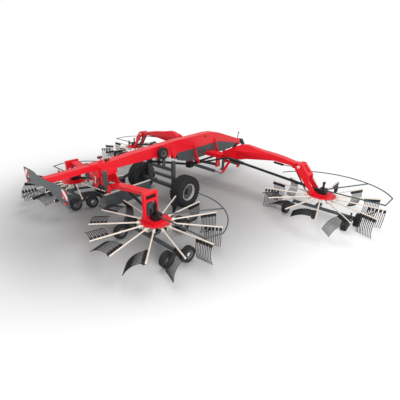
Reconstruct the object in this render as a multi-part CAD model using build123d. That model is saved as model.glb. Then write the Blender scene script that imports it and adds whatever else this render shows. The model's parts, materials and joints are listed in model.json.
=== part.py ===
from build123d import *
import math
import os

# Towed centre-delivery rake with four rotors, spread for work, in millimetres.
# X points to the machine's right, Y forward to the hitch, Z up from the ground.
# Places along the machine are measured forward of the rear rotors' hub line,
# and FORE shifts them so that the origin lies under the middle of the outline.

# Main layout
FORE = -2775.0
REAR_HUB_X = 2139.0
FRONT_HUB_Y = 4619.0
ARM_PLANE_Z = 643.0
TINE_TIP_Z = 18.0
SEAT = 0.3
RUNNING = 0.05
OVERRUN = 40.0

# Main beam, a welded box of rectangular section
BEAM_W = 300.0
BEAM_L = 6700.0
BEAM_H = 860.0
BEAM_Z = 1143.0
BEAM_BACK = 300.0
BEAM_FLAT_SHARE = 0.376
# columns: share of the beam's length from its rear end, share of its height
BEAM_TOP_SHARES = (
    (0.0, 0.780), (0.108, 0.855), (0.232, 0.901), (0.372, 0.965), (0.532, 0.979), (0.621, 1.0),
    (0.697, 0.979), (0.753, 0.879), (1.0, 0.279),
)
BEAM_UNDER_SHARES = (
    (1.0, 0.081), (0.948, 0.155), (0.751, 0.479), (0.735, BEAM_FLAT_SHARE), (0.262, BEAM_FLAT_SHARE),
    (0.229, 0.490), (0.0, 0.490),
)
NOSE_PLATE_T = 24.0
NOSE_PLATE_W = 240.0

# Side gussets of the beam: columns give the place forward, then shares of reach and height
GUSSET_T = 26.0
GUSSET_PLACES = (3750.0, 5050.0)
GUSSET_REACH = 330.0
GUSSET_Z = 1000.0
GUSSET_H = 780.0
GUSSET_SHARES = (
    (0.0, 1.0), (0.24, 0.72), (0.52, 0.42), (0.86, 0.16), (1.0, 0.0), (0.80, 0.0), (0.50, 0.17),
    (0.20, 0.30),
)

# Small plate on the beam's side, behind the covers
CHEEK_T = 24.0
CHEEK_Y = 2471.0
CHEEK_Z = 1315.0
CHEEK_L = 370.0
CHEEK_H = 474.0
CHEEK_SHARES = ((0.0, 1.0), (0.73, 0.90), (0.98, 0.45), (0.65, 0.0), (0.45, 0.22))

# Tail beam behind the rear bracket
TAIL_L = 1405.0
TAIL_W = 220.0
TAIL_LOWER = 7.0
TAIL_DROP = 51.0
TAIL_ROOT_H = 158.0
TAIL_END_H = 147.0
COLLAR_L = 160.0
COLLAR_T = 12.0

# Side covers under the beam
COVER_T = 20.0
COVER_L = 3814.0
COVER_BACK = 2842.0
COVER_Z = 1100.0
COVER_H = 455.0
# columns: share of the cover's length, share of its height
COVER_SHARES = (
    (0.0, 0.936), (0.563, 0.987), (0.653, 1.0), (1.0, 0.387), (0.972, 0.176), (0.880, 0.013), (0.712, 0.0),
    (0.572, 0.088), (0.247, 0.037), (0.149, 0.022), (0.0, 0.371),
)

# Rear bracket that carries the rear arms
BRACKET_BACK = -335.0
BRACKET_CORE_H = 385.0
BRACKET_W = 1010.0
BRACKET_H = 462.0
BRACKET_PLATE_T = 22.0
BRACKET_PLATE_Y = 185.0
# columns: share of the plate's half width, share of its height below the beam
BRACKET_SHARES = (
    (0.30, 0.0), (0.42, 0.30), (0.80, 0.52), (0.93, 0.72), (0.80, 1.0), (0.50, 1.0), (0.24, 0.62),
)
BRACKET_FORE_SHARES = ((0.29, -0.264), (0.75, 0.405), (0.93, 0.72), (0.80, 1.0), (0.50, 1.0), (0.24, 0.62))
# columns: place of the ear's eye across the machine, its height
KNOB_EYES = ((-190.0, 1890.0), (190.0, 1890.0))
KNOB_EAR_R = 42.0
KNOB_EAR_Y = -30.0
REAR_PIVOT_X = 330.0
REAR_PIVOT_Z = 1113.0
PIVOT_PIN_R = 35.0
PIVOT_BOSS_R = 85.0
EAR_R = 55.0
EAR_T = 24.0
KNOB_R = 42.0

# Rear arms
REAR_ARM_W = 260.0
# columns: height of the arm's upper edge and lower edge, at its knee and at its end
REAR_ARM_KNEE_Z = (1272.0, 1165.0)
REAR_ARM_END_Z = (1422.0, 1350.0)
REAR_ARM_KNEE = 300.0
PORTAL_T = 90.0
PORTAL_W = 450.0
PORTAL_MIDDLE = -50.0
PORTAL_TOP_Z = 1455.0
PORTAL_LEG_W = 62.0
PORTAL_BAR_H = 70.0
PORTAL_GAP_H = 110.0
PORTAL_BACK = 185.0

# Rear lift cylinders
LIFT_X = 500.0
LIFT_Y = -330.0
LIFT_TOP_Z = 1663.0
LIFT_EYE_Z = 1165.0
LIFT_W = 92.0
LIFT_ROD_R = 20.0
LIFT_ROD_L = 110.0
LIFT_PIN_R = 16.0

# Front arms
FRONT_PIVOT_X = 1330.0
FRONT_PIVOT_Z = 1290.0
FRONT_ARM_L = 2724.0
FRONT_ARM_H = 643.0
FRONT_ARM_W = 330.0
FRONT_ARM_X = 959.0
FRONT_ARM_Z = 1163.0
# columns: share of the arm's length out from its root, share of its height
FRONT_ARM_SHARES = (
    (0.0, 0.411), (0.096, 0.600), (0.217, 0.860), (0.291, 0.978), (0.365, 1.0), (0.540, 0.863), (0.718, 0.781),
    (0.849, 0.700), (1.0, 0.566), (1.0, 0.397), (0.761, 0.474), (0.366, 0.222), (0.278, 0.101), (0.098, 0.0),
    (0.042, 0.163),
)
ROOT_SLOT_W = 190.0
ROOT_SLOT_L = 480.0
# The arm's outer part has a six-sided section, widest at its crease
CREASE_X = 1520.0
CREASE_Z = 1560.0
CREASE_TOP_Z = 1812.0
CREASE_TOP_W = 156.0
CREASE_LOW_Z = 1195.0
CREASE_LOW_W = 90.0
FRONT_END_W = 250.0
END_BOSS_R = 88.0
LEVER_DROP = 657.0
LEVER_IN = 230.0
LEVER_W = 90.0
LEVER_T = 30.0
LEVER_GAP = 5.0
NECK_L = 190.0

# Front bracket, two side plates with a top cover, down to the rotor's carrier plate
FORK_PLATE_T = 24.0
FORK_W = 380.0
FORK_STEP = 52.0
FORK_X = FRONT_ARM_X + FRONT_ARM_L + FORK_STEP
FORK_L = 840.0
FORK_H = 810.0
# columns: share of the bracket's length outward, share of its height
FORK_SHARES = (
    (0.0, 0.80), (0.0, 0.90), (0.10, 1.0), (0.24, 1.0), (0.57, 0.60), (0.60, 0.40), (0.84, 0.12), (0.92, 0.0),
    (0.72, 0.0), (0.50, 0.24), (0.04, 0.78),
)
FORK_PIN_SHARE = (0.15, 0.88)
HUB_STEP = 902.0
FRONT_HUB_X = FORK_X + HUB_STEP
FORK_PIN_R = 54.0
FORK_EYE_R = 44.0
FORK_TOP_SHARES = ((0.24, 1.0), (0.57, 0.60), (0.54, 0.585), (0.21, 0.985))
FORK_SLOT_SHARES = ((0.28, 0.93), (0.48, 0.69))
FORK_SLOT_W = 90.0

# Rotor carriers
PLATE_T = 24.0
PLATE_GAP = 8.0
PLATE_BACK = 260.0
PLATE_FRONT = 190.0
PLATE_W = 500.0
GEARBOX_L = 250.0
GEARBOX_W = 250.0
GEARBOX_H = 150.0
GEARBOX_ROUND = 35.0
INPUT_R = 55.0
INPUT_L = 90.0
ADJUSTER_R = 32.0
ADJUSTER_H = 165.0
KNOB_H = 45.0
COLUMN_R = 45.0
COLUMN_BACK_R = 70.0

# Rotor disc and arms
DISC_R = 385.0
DISC_T = 60.0
DISC_CROWN_R = 150.0
ARMS = 13
ARM_R = 20.0
ARM_TIP = 1690.0
SOCKET_R = 36.0
SOCKET_L = 195.0
BELL_R = 310.0
BELL_FOOT_R = 200.0
DISH_T = 10.0
LOBE_R = 58.0
LOBE_AT = 362.0

# Tines
HOLDER_W = 34.0
HOLDER_H = 28.0
HOLDER_START = 1236.0
HOLDER_END = 1676.0
TINE_PAIRS = 5
PAIR_PITCH = 90.0
PAIR_FIRST = 1276.0
PAIR_SPREAD = 44.0
TINE_R = 5.5
TINE_BEND_SHARE = 0.55
TINE_BEND = 45.0
# columns: arm angle from, arm angle to, tilt of the tines behind the arm, all in degrees
REAR_TILTS = ((190.0, 300.0, 86.0), (300.0, 325.0, 62.0), (325.0, 348.0, 32.0))
FRONT_TILTS = ((215.0, 300.0, 86.0), (300.0, 330.0, 50.0))

# Undercarriage below each rotor
SMALL_R = 205.0
SMALL_W = 160.0
SMALL_RIM_R = 112.0
SMALL_RIM_DEPTH = 34.0
SMALL_HUB_R = 42.0
SMALL_SHOULDER = 30.0
AXLE_R = 20.0
AXLE_HEAD_R = 30.0
AXLE_HEAD_T = 10.0
TANDEM_Y = -255.0
TANDEM_PITCH = 490.0
TANDEM_X = 985.0
TANDEM_T = 25.0
TANDEM_GAP = 9.0
TANDEM_H = 90.0
LATERAL_Z = 343.0
LATERAL_H = 80.0
LATERAL_W = 66.0
SPINDLE_R = 22.0
SPINDLE_H = 190.0
SINGLE_X = 800.0
SINGLE_Y = -560.0
NOSE_Y = 930.0
NOSE_W = 40.0
NOSE_GAP = 10.0
NOSE_WHEEL_W = 130.0
NOSE_H = 80.0

# Guard hoops
HOOP_R = 1800.0
HOOP_TUBE_R = 16.0
HOOP_Z = 200.0
HOOP_END_INSET = 190.0
HOOP_END_X = HOOP_R - HOOP_END_INSET
STRUT_R = 19.0
# columns: arc start and end, in degrees from the machine's right
REAR_HOOP = (14.0, 92.0)
FRONT_HOOP = (22.0, 154.0)
# columns: strut angle at the hoop in degrees, width of the piece that it starts from
REAR_STRUTS = ((55.0, GEARBOX_W),)
FRONT_STRUTS = ((60.0, GEARBOX_W), (138.0, FORK_W))

# Transport wheels and chassis
WHEEL_X = 1129.0
WHEEL_Y = 2203.0
WHEEL_R = 537.0
WHEEL_W = 450.0
RIM_R = 262.0
RIM_DEPTH = 120.0
WHEEL_SHOULDER = 75.0
BIG_HUB_R = 95.0
BIG_AXLE_R = 45.0
AXLE_BEAM = 120.0
POST_X = 590.0
POST_W = 110.0
POST_TOP_Z = 1450.0
CROSS_H = 90.0
CROSS_TOP_Z = 1175.0
CROSS_MID_Z = 895.0
LEG_W = 90.0

# Front subframe
YOKE_BACK = 4440.0
YOKE_FRONT = 4800.0
YOKE_X = 1020.0
YOKE_Z = 1143.0
YOKE_H = 150.0
YOKE_EAR_R = 95.0

# Front lift cylinders
RAM_X = -500.0
RAM_Y = 4305.0
RAM_Z = 694.0
RAM_R = 62.0
RAM_ROD_R = 32.0
RAM_EYE_R = 55.0
RAM_EYE_T = 56.0
RAM_PIN_R = 22.0
RAM_BARREL_SHARE = 0.80
RAM_LUG_W = 60.0

# Tail panel
PANEL_HALF = 1270.0
PANEL_T = 12.0
PANEL_Z = 1300.0
PANEL_H = 496.0
# columns: share of the panel's half width, share of its height
PANEL_SHARES = (
    (0.0, 0.40), (0.30, 0.38), (0.34, 0.258), (0.54, 0.208), (0.76, 0.115), (0.97, 0.0), (1.0, 0.03),
    (1.0, 0.95), (0.97, 0.98), (0.52, 1.0), (0.40, 0.97), (0.34, 0.90), (0.0, 0.90),
)
MARK_W = 220.0
MARK_H = 220.0
MARK_LIFT = 230.0
MARK_T = 5.0
MARK_X = 1115.0
LAMP_LIFT = 130.0
LAMP_R = 34.0
LAMP_T = 26.0

# Swath curtain between the rear rotors
CURTAIN_X = -300.0
CURTAIN_BACK = 39.0
CURTAIN_L = 1869.0
CURTAIN_T = 6.0
CURTAIN_BOTTOM = 150.0
CURTAIN_TOP = 622.0
CURTAIN_BAR = 40.0

# Spare wheel
SPARE_R = 200.0
SPARE_W = 120.0
SPARE_X = 230.0
SPARE_Y = 2030.0
SPARE_Z = 1700.0

# Headstock and hitch
HEAD_REACH = 180.0
HEAD_Y = BEAM_BACK + BEAM_L + HEAD_REACH
HEAD_PIN_R = 30.0
HEAD_Z = 1243.0
HEAD_H = 200.0
LINK_Z = 720.0
LINK_SPREAD = 905.0
LINK_PIN_R = 18.3
LINK_PIN_L = 60.0
BAR_S = 100.0
YOKE_T = 70.0
# columns: share of the yoke's half width, share of its height
YOKE_SHARES = ((1.0, 0.0), (1.0, 0.15), (0.24, 1.0))
YOKE_OPENING_SHARES = ((0.62, 0.17), (0.08, 0.72))
PTO_R = 17.5
PTO_L = 80.0
PTO_BACK = 150.0
PTO_Y = BEAM_BACK + BEAM_L - PTO_BACK
PTO_Z = 900.0

# Driveline
SHAFT_R = 42.0
BOX_S = 220.0
MID_BOX_Y = 3700.0
MID_BOX_Z = 890.0
REAR_BOX_Y = 470.0
REAR_BOX_Z = 1120.0
BOOT_R = 48.0
BOOT_Y = 4262.0
REAR_BOOT_R = 44.0
REAR_BOOT_Y = 275.0
BEARING_Y = 1700.0
BEARING_Z = 1440.0

# Parking jack
JACK_BACK = 670.0
JACK_Y = BEAM_BACK + BEAM_L - JACK_BACK
JACK_S = 90.0
JACK_FOOT_R = 140.0
JACK_FOOT_T = 16.0
JACK_BRACKET_T = 32.0
JACK_LAP = 240.0


def spread(shares, at, size):
    """Outline points from shares of a frame that starts at a corner."""
    return [(at[0] + a * size[0], at[1] + b * size[1]) for a, b in shares]


def face(points):
    return make_face(Polyline(*points, close=True))


def side_slab(points, x0, x1):
    """A slab with its outline in the side view, points as (forward, up)."""
    outline = face([(y + FORE, z) for y, z in points])
    return Plane.YZ.offset(x0) * extrude(outline, amount=x1 - x0)


def cross_slab(points, y0, y1):
    """A slab with its outline in the rear view, points as (right, up)."""
    outline = face([(x, z) for x, z in points])
    placed = Plane(origin=(0, y1 + FORE, 0), x_dir=(1, 0, 0), z_dir=(0, -1, 0))
    return placed * extrude(outline, amount=y1 - y0)


def block(x0, x1, y0, y1, z0, z1):
    centre = ((x0 + x1) / 2, (y0 + y1) / 2 + FORE, (z0 + z1) / 2)
    return Pos(*centre) * Box(x1 - x0, y1 - y0, z1 - z0)


def between(a, b):
    """Start point, unit direction and length of a run between two places."""
    start = Vector(a[0], a[1] + FORE, a[2])
    run = Vector(b[0], b[1] + FORE, b[2]) - start
    return start, run.normalized(), run.length


def rod(a, b, radius):
    start, along, length = between(a, b)
    return Plane(origin=start, z_dir=along) * extrude(Circle(radius), amount=length)


def bar(a, b, width, height):
    start, along, length = between(a, b)
    side = Vector(0, 0, 1).cross(along)
    if side.length < RUNNING:
        side = Vector(1, 0, 0)
    frame = Plane(origin=start, x_dir=side.normalized(), z_dir=along)
    return frame * extrude(Rectangle(width, height), amount=length)


def mirrored(shape):
    return mirror(shape, Plane.YZ)


def turned(shape):
    """The same shape on the other side, turned half a turn about the front subframe's middle."""
    middle = FRONT_HUB_Y + FORE
    return Pos(0, middle, 0) * Rot(0, 0, 180) * Pos(0, -middle, 0) * shape


def cylinder_x(x0, x1, y, z, radius):
    return rod((x0, y, z), (x1, y, z), radius)


def cylinder_y(x, y0, y1, z, radius):
    return rod((x, y0, z), (x, y1, z), radius)


def cylinder_z(x, y, z0, z1, radius):
    return rod((x, y, z0), (x, y, z1), radius)


def save(name, *solids):
    """Write one sub-part, all its solids in one file."""
    pieces = []
    for solid in solids:
        pieces += solid.solids()
    export_step(Compound(children=pieces) if len(pieces) > 1 else pieces[0], f"parts/{name}.step")


def beam_z(share):
    return BEAM_Z + share * BEAM_H


# Frame: beams and covers
def main_beam():
    outline = spread(BEAM_TOP_SHARES + BEAM_UNDER_SHARES, (BEAM_BACK, BEAM_Z), (BEAM_L, BEAM_H))
    beam = side_slab(outline, -BEAM_W / 2, BEAM_W / 2)
    half = BEAM_W / 2
    cheek = spread(CHEEK_SHARES, (CHEEK_Y, CHEEK_Z), (CHEEK_L, CHEEK_H))
    right = side_slab(cheek, half, half + CHEEK_T)
    profile = spread(GUSSET_SHARES, (half, GUSSET_Z), (GUSSET_REACH, GUSSET_H))
    for y in GUSSET_PLACES:
        gusset = cross_slab(profile, y - GUSSET_T / 2, y + GUSSET_T / 2)
        clear = half + COVER_T + SEAT
        gusset -= block(0, clear, y - GUSSET_T, y + GUSSET_T, GUSSET_Z, COVER_Z + COVER_H + SEAT)
        right += gusset
    return beam + right + mirrored(right)


def tail_beam():
    """Slim tube behind the rear bracket with a collar at its root."""
    top = beam_z(BEAM_TOP_SHARES[0][1]) - TAIL_LOWER
    end_top = top - TAIL_DROP
    back = BRACKET_BACK - TAIL_L
    outline = (
        (BRACKET_BACK, top), (back, end_top), (back, end_top - TAIL_END_H), (BRACKET_BACK, top - TAIL_ROOT_H),
    )
    tube = side_slab(outline, -TAIL_W / 2, TAIL_W / 2)
    wide = TAIL_W / 2 + COLLAR_T
    low = top - TAIL_ROOT_H - COLLAR_T
    return tube + block(-wide, wide, BRACKET_BACK - COLLAR_L, BRACKET_BACK, low, top + TAIL_LOWER)


def side_covers():
    """Plates beside the beam's lower half, open where the front subframe passes."""
    outline = spread(COVER_SHARES, (COVER_BACK, COVER_Z), (COVER_L, COVER_H))
    wide = BEAM_W / 2 + COVER_T
    shell = side_slab(outline, -wide, wide)
    hollow = side_slab(outline, -BEAM_W / 2, BEAM_W / 2)
    passage = block(-wide, wide, YOKE_BACK - SEAT, YOKE_FRONT + SEAT, 0, YOKE_Z + YOKE_H + SEAT)
    return shell - hollow - passage


def rear_bracket():
    top = beam_z(BEAM_TOP_SHARES[0][1])
    under = top - BRACKET_CORE_H
    core = block(-BEAM_W / 2, BEAM_W / 2, BRACKET_BACK, BEAM_BACK, under, top)
    parts = [core, tail_beam()]
    for y, shares in ((-BRACKET_PLATE_Y, BRACKET_SHARES), (BRACKET_PLATE_Y, BRACKET_FORE_SHARES)):
        right = [(a * BRACKET_W / 2, under - b * BRACKET_H) for a, b in shares]
        left = [(-x, z) for x, z in reversed(right)]
        plate = cross_slab(right + left, y - BRACKET_PLATE_T / 2, y + BRACKET_PLATE_T / 2)
        parts.append(plate)
    for x, z in KNOB_EYES:
        root_x = max(-BEAM_W / 4, min(BEAM_W / 4, x))
        parts.append(bar((root_x, KNOB_EAR_Y, top - KNOB_EAR_R), (x, KNOB_EAR_Y, z), EAR_T, KNOB_EAR_R))
        parts.append(cylinder_y(x, KNOB_EAR_Y - EAR_T / 2, KNOB_EAR_Y + EAR_T / 2, z, KNOB_EAR_R))
    for side in (-1, 1):
        x = side * REAR_PIVOT_X
        reach = BRACKET_PLATE_Y + BRACKET_PLATE_T / 2 + TANDEM_GAP
        parts.append(cylinder_y(x, -reach, reach, REAR_PIVOT_Z, PIVOT_PIN_R))
        head = (LIFT_TOP_Z - KNOB_R, LIFT_TOP_Z + KNOB_R)
        ear_back = LIFT_Y + LIFT_W / 2
        x0, x1 = sorted((side * BEAM_W / 2, side * (LIFT_X + LIFT_W / 2)))
        parts.append(block(x0, x1, ear_back + SEAT, ear_back + EAR_T, head[0] - EAR_R, head[1]))
    return parts[0].fuse(*parts[1:])


# Rear arms with the portal that straddles each rear rotor's gearbox
def rear_arm():
    knee_x = REAR_PIVOT_X + REAR_ARM_KNEE
    end_x = REAR_HUB_X - PORTAL_BACK
    outline = (
        (REAR_PIVOT_X - PIVOT_BOSS_R, REAR_PIVOT_Z), (REAR_PIVOT_X, REAR_PIVOT_Z - PIVOT_BOSS_R),
        (knee_x, REAR_ARM_KNEE_Z[1]), (end_x, REAR_ARM_END_Z[1]), (end_x, REAR_ARM_END_Z[0]),
        (knee_x, REAR_ARM_KNEE_Z[0]), (REAR_PIVOT_X, REAR_PIVOT_Z + PIVOT_BOSS_R),
    )
    arm = cross_slab(outline, -REAR_ARM_W / 2, REAR_ARM_W / 2)
    half = REAR_ARM_W / 2 + COLLAR_T
    boss = cylinder_y(REAR_PIVOT_X, -half, half, REAR_PIVOT_Z, PIVOT_BOSS_R)
    arm = arm + boss
    arm = arm - cylinder_y(REAR_PIVOT_X, -REAR_ARM_W, REAR_ARM_W, REAR_PIVOT_Z, PIVOT_PIN_R + RUNNING)
    top = PORTAL_TOP_Z
    foot = ARM_PLANE_Z + DISC_T + PLATE_GAP + PLATE_T
    x0 = end_x
    x1 = end_x + PORTAL_T
    y = PORTAL_MIDDLE
    portal = block(x0, x1, y - PORTAL_W / 2, y + PORTAL_W / 2, foot, top)
    gap = PORTAL_W / 2 - PORTAL_LEG_W
    lower_top = top - 2 * PORTAL_BAR_H - PORTAL_GAP_H
    opening = block(x0 - OVERRUN, x1 + OVERRUN, y - gap, y + gap, foot - OVERRUN, lower_top - gap / 2)
    arch = cylinder_x(x0 - OVERRUN, x1 + OVERRUN, y, lower_top - gap / 2, gap)
    arch = arch & block(x0 - OVERRUN, x1 + OVERRUN, y - gap, y + gap, foot, lower_top)
    window_foot = lower_top + PORTAL_BAR_H
    window = block(x1 - PORTAL_T / 2, x1 + OVERRUN, y - gap, y + gap, window_foot, top - PORTAL_BAR_H)
    portal = portal - opening - arch - window
    pin = cylinder_y(LIFT_X, LIFT_Y + LIFT_ROD_R + SEAT, -REAR_ARM_W / 2, LIFT_EYE_Z, LIFT_PIN_R)
    return arm + portal + pin


def rear_lift_cylinders():
    """Both cylinders, whose upper ends are pinned to the bracket's ears."""
    rod_top = LIFT_EYE_Z + LIFT_ROD_L
    half = LIFT_W / 2
    tube = block(LIFT_X - half, LIFT_X + half, LIFT_Y - half, LIFT_Y + half, rod_top, LIFT_TOP_Z)
    head = cylinder_y(LIFT_X, LIFT_Y - LIFT_W / 2, LIFT_Y + LIFT_W / 2, LIFT_TOP_Z, LIFT_W / 2)
    stem = cylinder_z(LIFT_X, LIFT_Y, LIFT_EYE_Z + LIFT_PIN_R, rod_top, LIFT_ROD_R)
    eye = cylinder_y(LIFT_X, LIFT_Y - LIFT_ROD_R, LIFT_Y + LIFT_ROD_R, LIFT_EYE_Z, 2 * LIFT_PIN_R)
    right = tube + head + stem + eye
    return right, mirrored(right)


# Front arms, each with its lever
def front_arm():
    outline = spread(FRONT_ARM_SHARES, (FRONT_ARM_X, FRONT_ARM_Z), (FRONT_ARM_L, FRONT_ARM_H))
    y0 = FRONT_HUB_Y - FRONT_ARM_W / 2
    y1 = FRONT_HUB_Y + FRONT_ARM_W / 2
    arm = cross_slab(outline, y0, y1)
    far = FRONT_ARM_X + FRONT_ARM_L + OVERRUN
    section = [
        (y0, CREASE_Z), (FRONT_HUB_Y - CREASE_TOP_W / 2, CREASE_TOP_Z),
        (FRONT_HUB_Y + CREASE_TOP_W / 2, CREASE_TOP_Z), (y1, CREASE_Z),
        (FRONT_HUB_Y + CREASE_LOW_W / 2, CREASE_LOW_Z), (FRONT_HUB_Y - CREASE_LOW_W / 2, CREASE_LOW_Z),
    ]
    outer = side_slab(section, CREASE_X, far)
    root = block(FRONT_ARM_X - OVERRUN, CREASE_X, y0, y1, FRONT_ARM_Z - OVERRUN, CREASE_TOP_Z)
    arm = arm & (outer + root)
    slot_y0 = FRONT_HUB_Y - ROOT_SLOT_W / 2
    slot_y1 = FRONT_HUB_Y + ROOT_SLOT_W / 2
    slot_end = FRONT_ARM_X + ROOT_SLOT_L
    slot = block(FRONT_ARM_X - OVERRUN, slot_end, slot_y0, slot_y1, 0, FRONT_ARM_Z + FRONT_ARM_H)
    arm = arm - slot
    trim = (FRONT_ARM_W - FRONT_END_W) / 2
    for edge, inward in ((y0, trim), (y1, -trim)):
        corners = ((CREASE_X, edge + FORE), (far, edge + FORE), (far, edge + inward + FORE))
        wedge = make_face(Polyline(*corners, close=True))
        arm = arm - Pos(0, 0, FRONT_ARM_Z) * extrude(wedge, amount=FRONT_ARM_H + OVERRUN)
    arm = arm - cylinder_y(FRONT_PIVOT_X, y0 - OVERRUN, y1 + OVERRUN, FRONT_PIVOT_Z, PIVOT_PIN_R + RUNNING)
    lever_y0 = RAM_Y + RAM_ROD_R + LEVER_GAP
    lever_y = lever_y0 + LEVER_T / 2
    foot = (FRONT_PIVOT_X - LEVER_IN, lever_y, FRONT_PIVOT_Z - LEVER_DROP)
    neck_x = FRONT_PIVOT_X + PIVOT_PIN_R + TANDEM_GAP
    head = (neck_x + LEVER_W / 2, lever_y, FRONT_PIVOT_Z - LEVER_W)
    lever = bar(foot, head, LEVER_T, LEVER_W)
    lever += cylinder_y(foot[0], lever_y0, lever_y0 + LEVER_T, foot[2], LEVER_W / 2)
    lever += block(neck_x, neck_x + NECK_L, lever_y0, y0, FRONT_ARM_Z, FRONT_PIVOT_Z)
    size = (FORK_L, FORK_H)
    deck = ARM_PLANE_Z + DISC_T + PLATE_GAP + PLATE_T
    pin_x, pin_z = spread((FORK_PIN_SHARE,), (FORK_X, deck), size)[0]
    end0 = FRONT_HUB_Y - FRONT_END_W / 2
    end1 = FRONT_HUB_Y + FRONT_END_W / 2
    end_x = FRONT_ARM_X + FRONT_ARM_L
    boss = cylinder_y(pin_x, end0, end1, pin_z, END_BOSS_R)
    boss += block(end_x - OVERRUN, pin_x, end0, end1, pin_z - END_BOSS_R, pin_z + END_BOSS_R)
    arm = arm + lever + boss
    return arm - cylinder_y(pin_x, end0 - OVERRUN, end1 + OVERRUN, pin_z, FORK_PIN_R + RUNNING)


def front_fork():
    """Bracket from the arm's end down to the carrier plate."""
    y0 = FRONT_HUB_Y - FORK_W / 2
    y1 = FRONT_HUB_Y + FORK_W / 2
    foot = ARM_PLANE_Z + DISC_T + PLATE_GAP + PLATE_T
    size = (FORK_L, FORK_H)
    outline = spread(FORK_SHARES, (FORK_X, foot), size)
    pin_x, pin_z = spread((FORK_PIN_SHARE,), (FORK_X, foot), size)[0]
    plates = cross_slab(outline, y0, y0 + FORK_PLATE_T) + cross_slab(outline, y1 - FORK_PLATE_T, y1)
    cover = cross_slab(spread(FORK_TOP_SHARES, (FORK_X, foot), size), y0, y1)
    tube = cylinder_y(pin_x, y0, y1, pin_z, FORK_PIN_R)
    slot = [(x, FRONT_HUB_Y, z) for x, z in spread(FORK_SLOT_SHARES, (FORK_X, foot), size)]
    cover = cover - bar(slot[0], slot[1], FORK_SLOT_W, 2 * OVERRUN)
    fork = plates + cover + tube
    fork = fork - cylinder_y(pin_x, y0 - OVERRUN, y1 + OVERRUN, pin_z, FORK_EYE_R)
    return fork


# Rotor carriers
def carrier(hub_x, hub_y):
    top = ARM_PLANE_Z + DISC_T + PLATE_GAP
    deck = top + PLATE_T
    half = PLATE_W / 2
    plate = block(hub_x - PLATE_BACK, hub_x + PLATE_FRONT, hub_y - half, hub_y + half, top, deck)
    box_x0 = hub_x - GEARBOX_L / 2 + INPUT_L / 3
    box_x1 = hub_x + GEARBOX_L / 2
    body = block(box_x0, box_x1, hub_y - GEARBOX_W / 2, hub_y + GEARBOX_W / 2, deck, deck + GEARBOX_H)
    body = fillet(body.edges().filter_by(Axis.Z), GEARBOX_ROUND)
    mid = deck + GEARBOX_H / 2
    stub = cylinder_x(hub_x - GEARBOX_L / 2 + INPUT_L / 3 - INPUT_L, hub_x, hub_y, mid, INPUT_R)
    head = deck + GEARBOX_H
    spindle = cylinder_z(hub_x, hub_y, head, head + ADJUSTER_H, ADJUSTER_R)
    knob = cylinder_z(hub_x, hub_y, head + ADJUSTER_H, head + ADJUSTER_H + KNOB_H, KNOB_R)
    column = cylinder_z(hub_x, hub_y, LATERAL_Z - LATERAL_H / 2, top, COLUMN_R)
    return plate + body + stub + spindle + knob + column


def axle_stub(x0, x1, y, z):
    """A stub axle from a plate's face at x0 to its end at x1, with a thin retaining head."""
    step = AXLE_HEAD_T if x1 > x0 else -AXLE_HEAD_T
    return cylinder_x(x0, x1, y, z, AXLE_R) + cylinder_x(x1, x1 + step, y, z, AXLE_HEAD_R)


def tandem(hub_x, hub_y, side):
    """Rocking plate at one end of the lateral beam with its two stub axles."""
    y_mid = hub_y + TANDEM_Y
    y_rear = y_mid - TANDEM_PITCH / 2
    y_fore = y_mid + TANDEM_PITCH / 2
    half = TANDEM_H / 2
    low = SMALL_R - half
    outline = (
        (y_rear - half, low), (y_rear + half, low), (y_mid, LATERAL_Z - LATERAL_H / 2 - half / 2),
        (y_fore - half, low), (y_fore + half, low), (y_fore + half, SMALL_R + half), (y_mid + half, LATERAL_Z + LATERAL_H / 2),
        (y_mid - half, LATERAL_Z + LATERAL_H / 2), (y_rear - half, SMALL_R + half),
    )
    inner, outer = TANDEM_X, TANDEM_X + TANDEM_T
    x0, x1 = sorted((hub_x + side * inner, hub_x + side * outer))
    plate = side_slab(outline, x0, x1)
    reach = TANDEM_GAP + SMALL_W + TANDEM_GAP
    plate += axle_stub(hub_x + side * inner, hub_x + side * (inner - reach), y_rear, SMALL_R)
    plate += axle_stub(hub_x + side * outer, hub_x + side * (outer + reach), y_fore, SMALL_R)
    spindle_x = hub_x + side * (inner - 2 * SPINDLE_R)
    top = LATERAL_Z + LATERAL_H / 2
    plate += cylinder_z(spindle_x, y_mid, LATERAL_Z, top + SPINDLE_H / 2, SPINDLE_R)
    return plate


def undercarriage(hub_x, hub_y, nose, inner_single):
    """Frame that carries the small wheels, bolted to the foot of the column."""
    z0 = LATERAL_Z - LATERAL_H / 2
    z1 = LATERAL_Z + LATERAL_H / 2
    y_mid = hub_y + TANDEM_Y
    left = hub_x - TANDEM_X
    right = hub_x + TANDEM_X
    if inner_single:
        left = hub_x - SINGLE_X + SMALL_W
    frame = block(left, right, y_mid - LATERAL_W / 2, y_mid + LATERAL_W / 2, z0, z1)
    cheek = COLUMN_BACK_R
    frame += block(hub_x - cheek, hub_x + cheek, y_mid, hub_y + cheek, z0, z1)
    frame -= cylinder_z(hub_x, hub_y, z0 - OVERRUN, z1 + OVERRUN, COLUMN_R)
    frame += tandem(hub_x, hub_y, 1)
    if inner_single:
        frame += single(hub_x, hub_y)
    else:
        frame += tandem(hub_x, hub_y, -1)
    if nose:
        start = (hub_x, hub_y + cheek - OVERRUN / 4, LATERAL_Z)
        end = (hub_x, hub_y + NOSE_Y, SMALL_R)
        frame += bar(start, end, NOSE_W, NOSE_H)
        reach = NOSE_W / 2 + NOSE_GAP + NOSE_WHEEL_W + NOSE_GAP
        for side in (-1, 1):
            frame += axle_stub(hub_x, hub_x + side * reach, hub_y + NOSE_Y, SMALL_R)
    return frame


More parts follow.
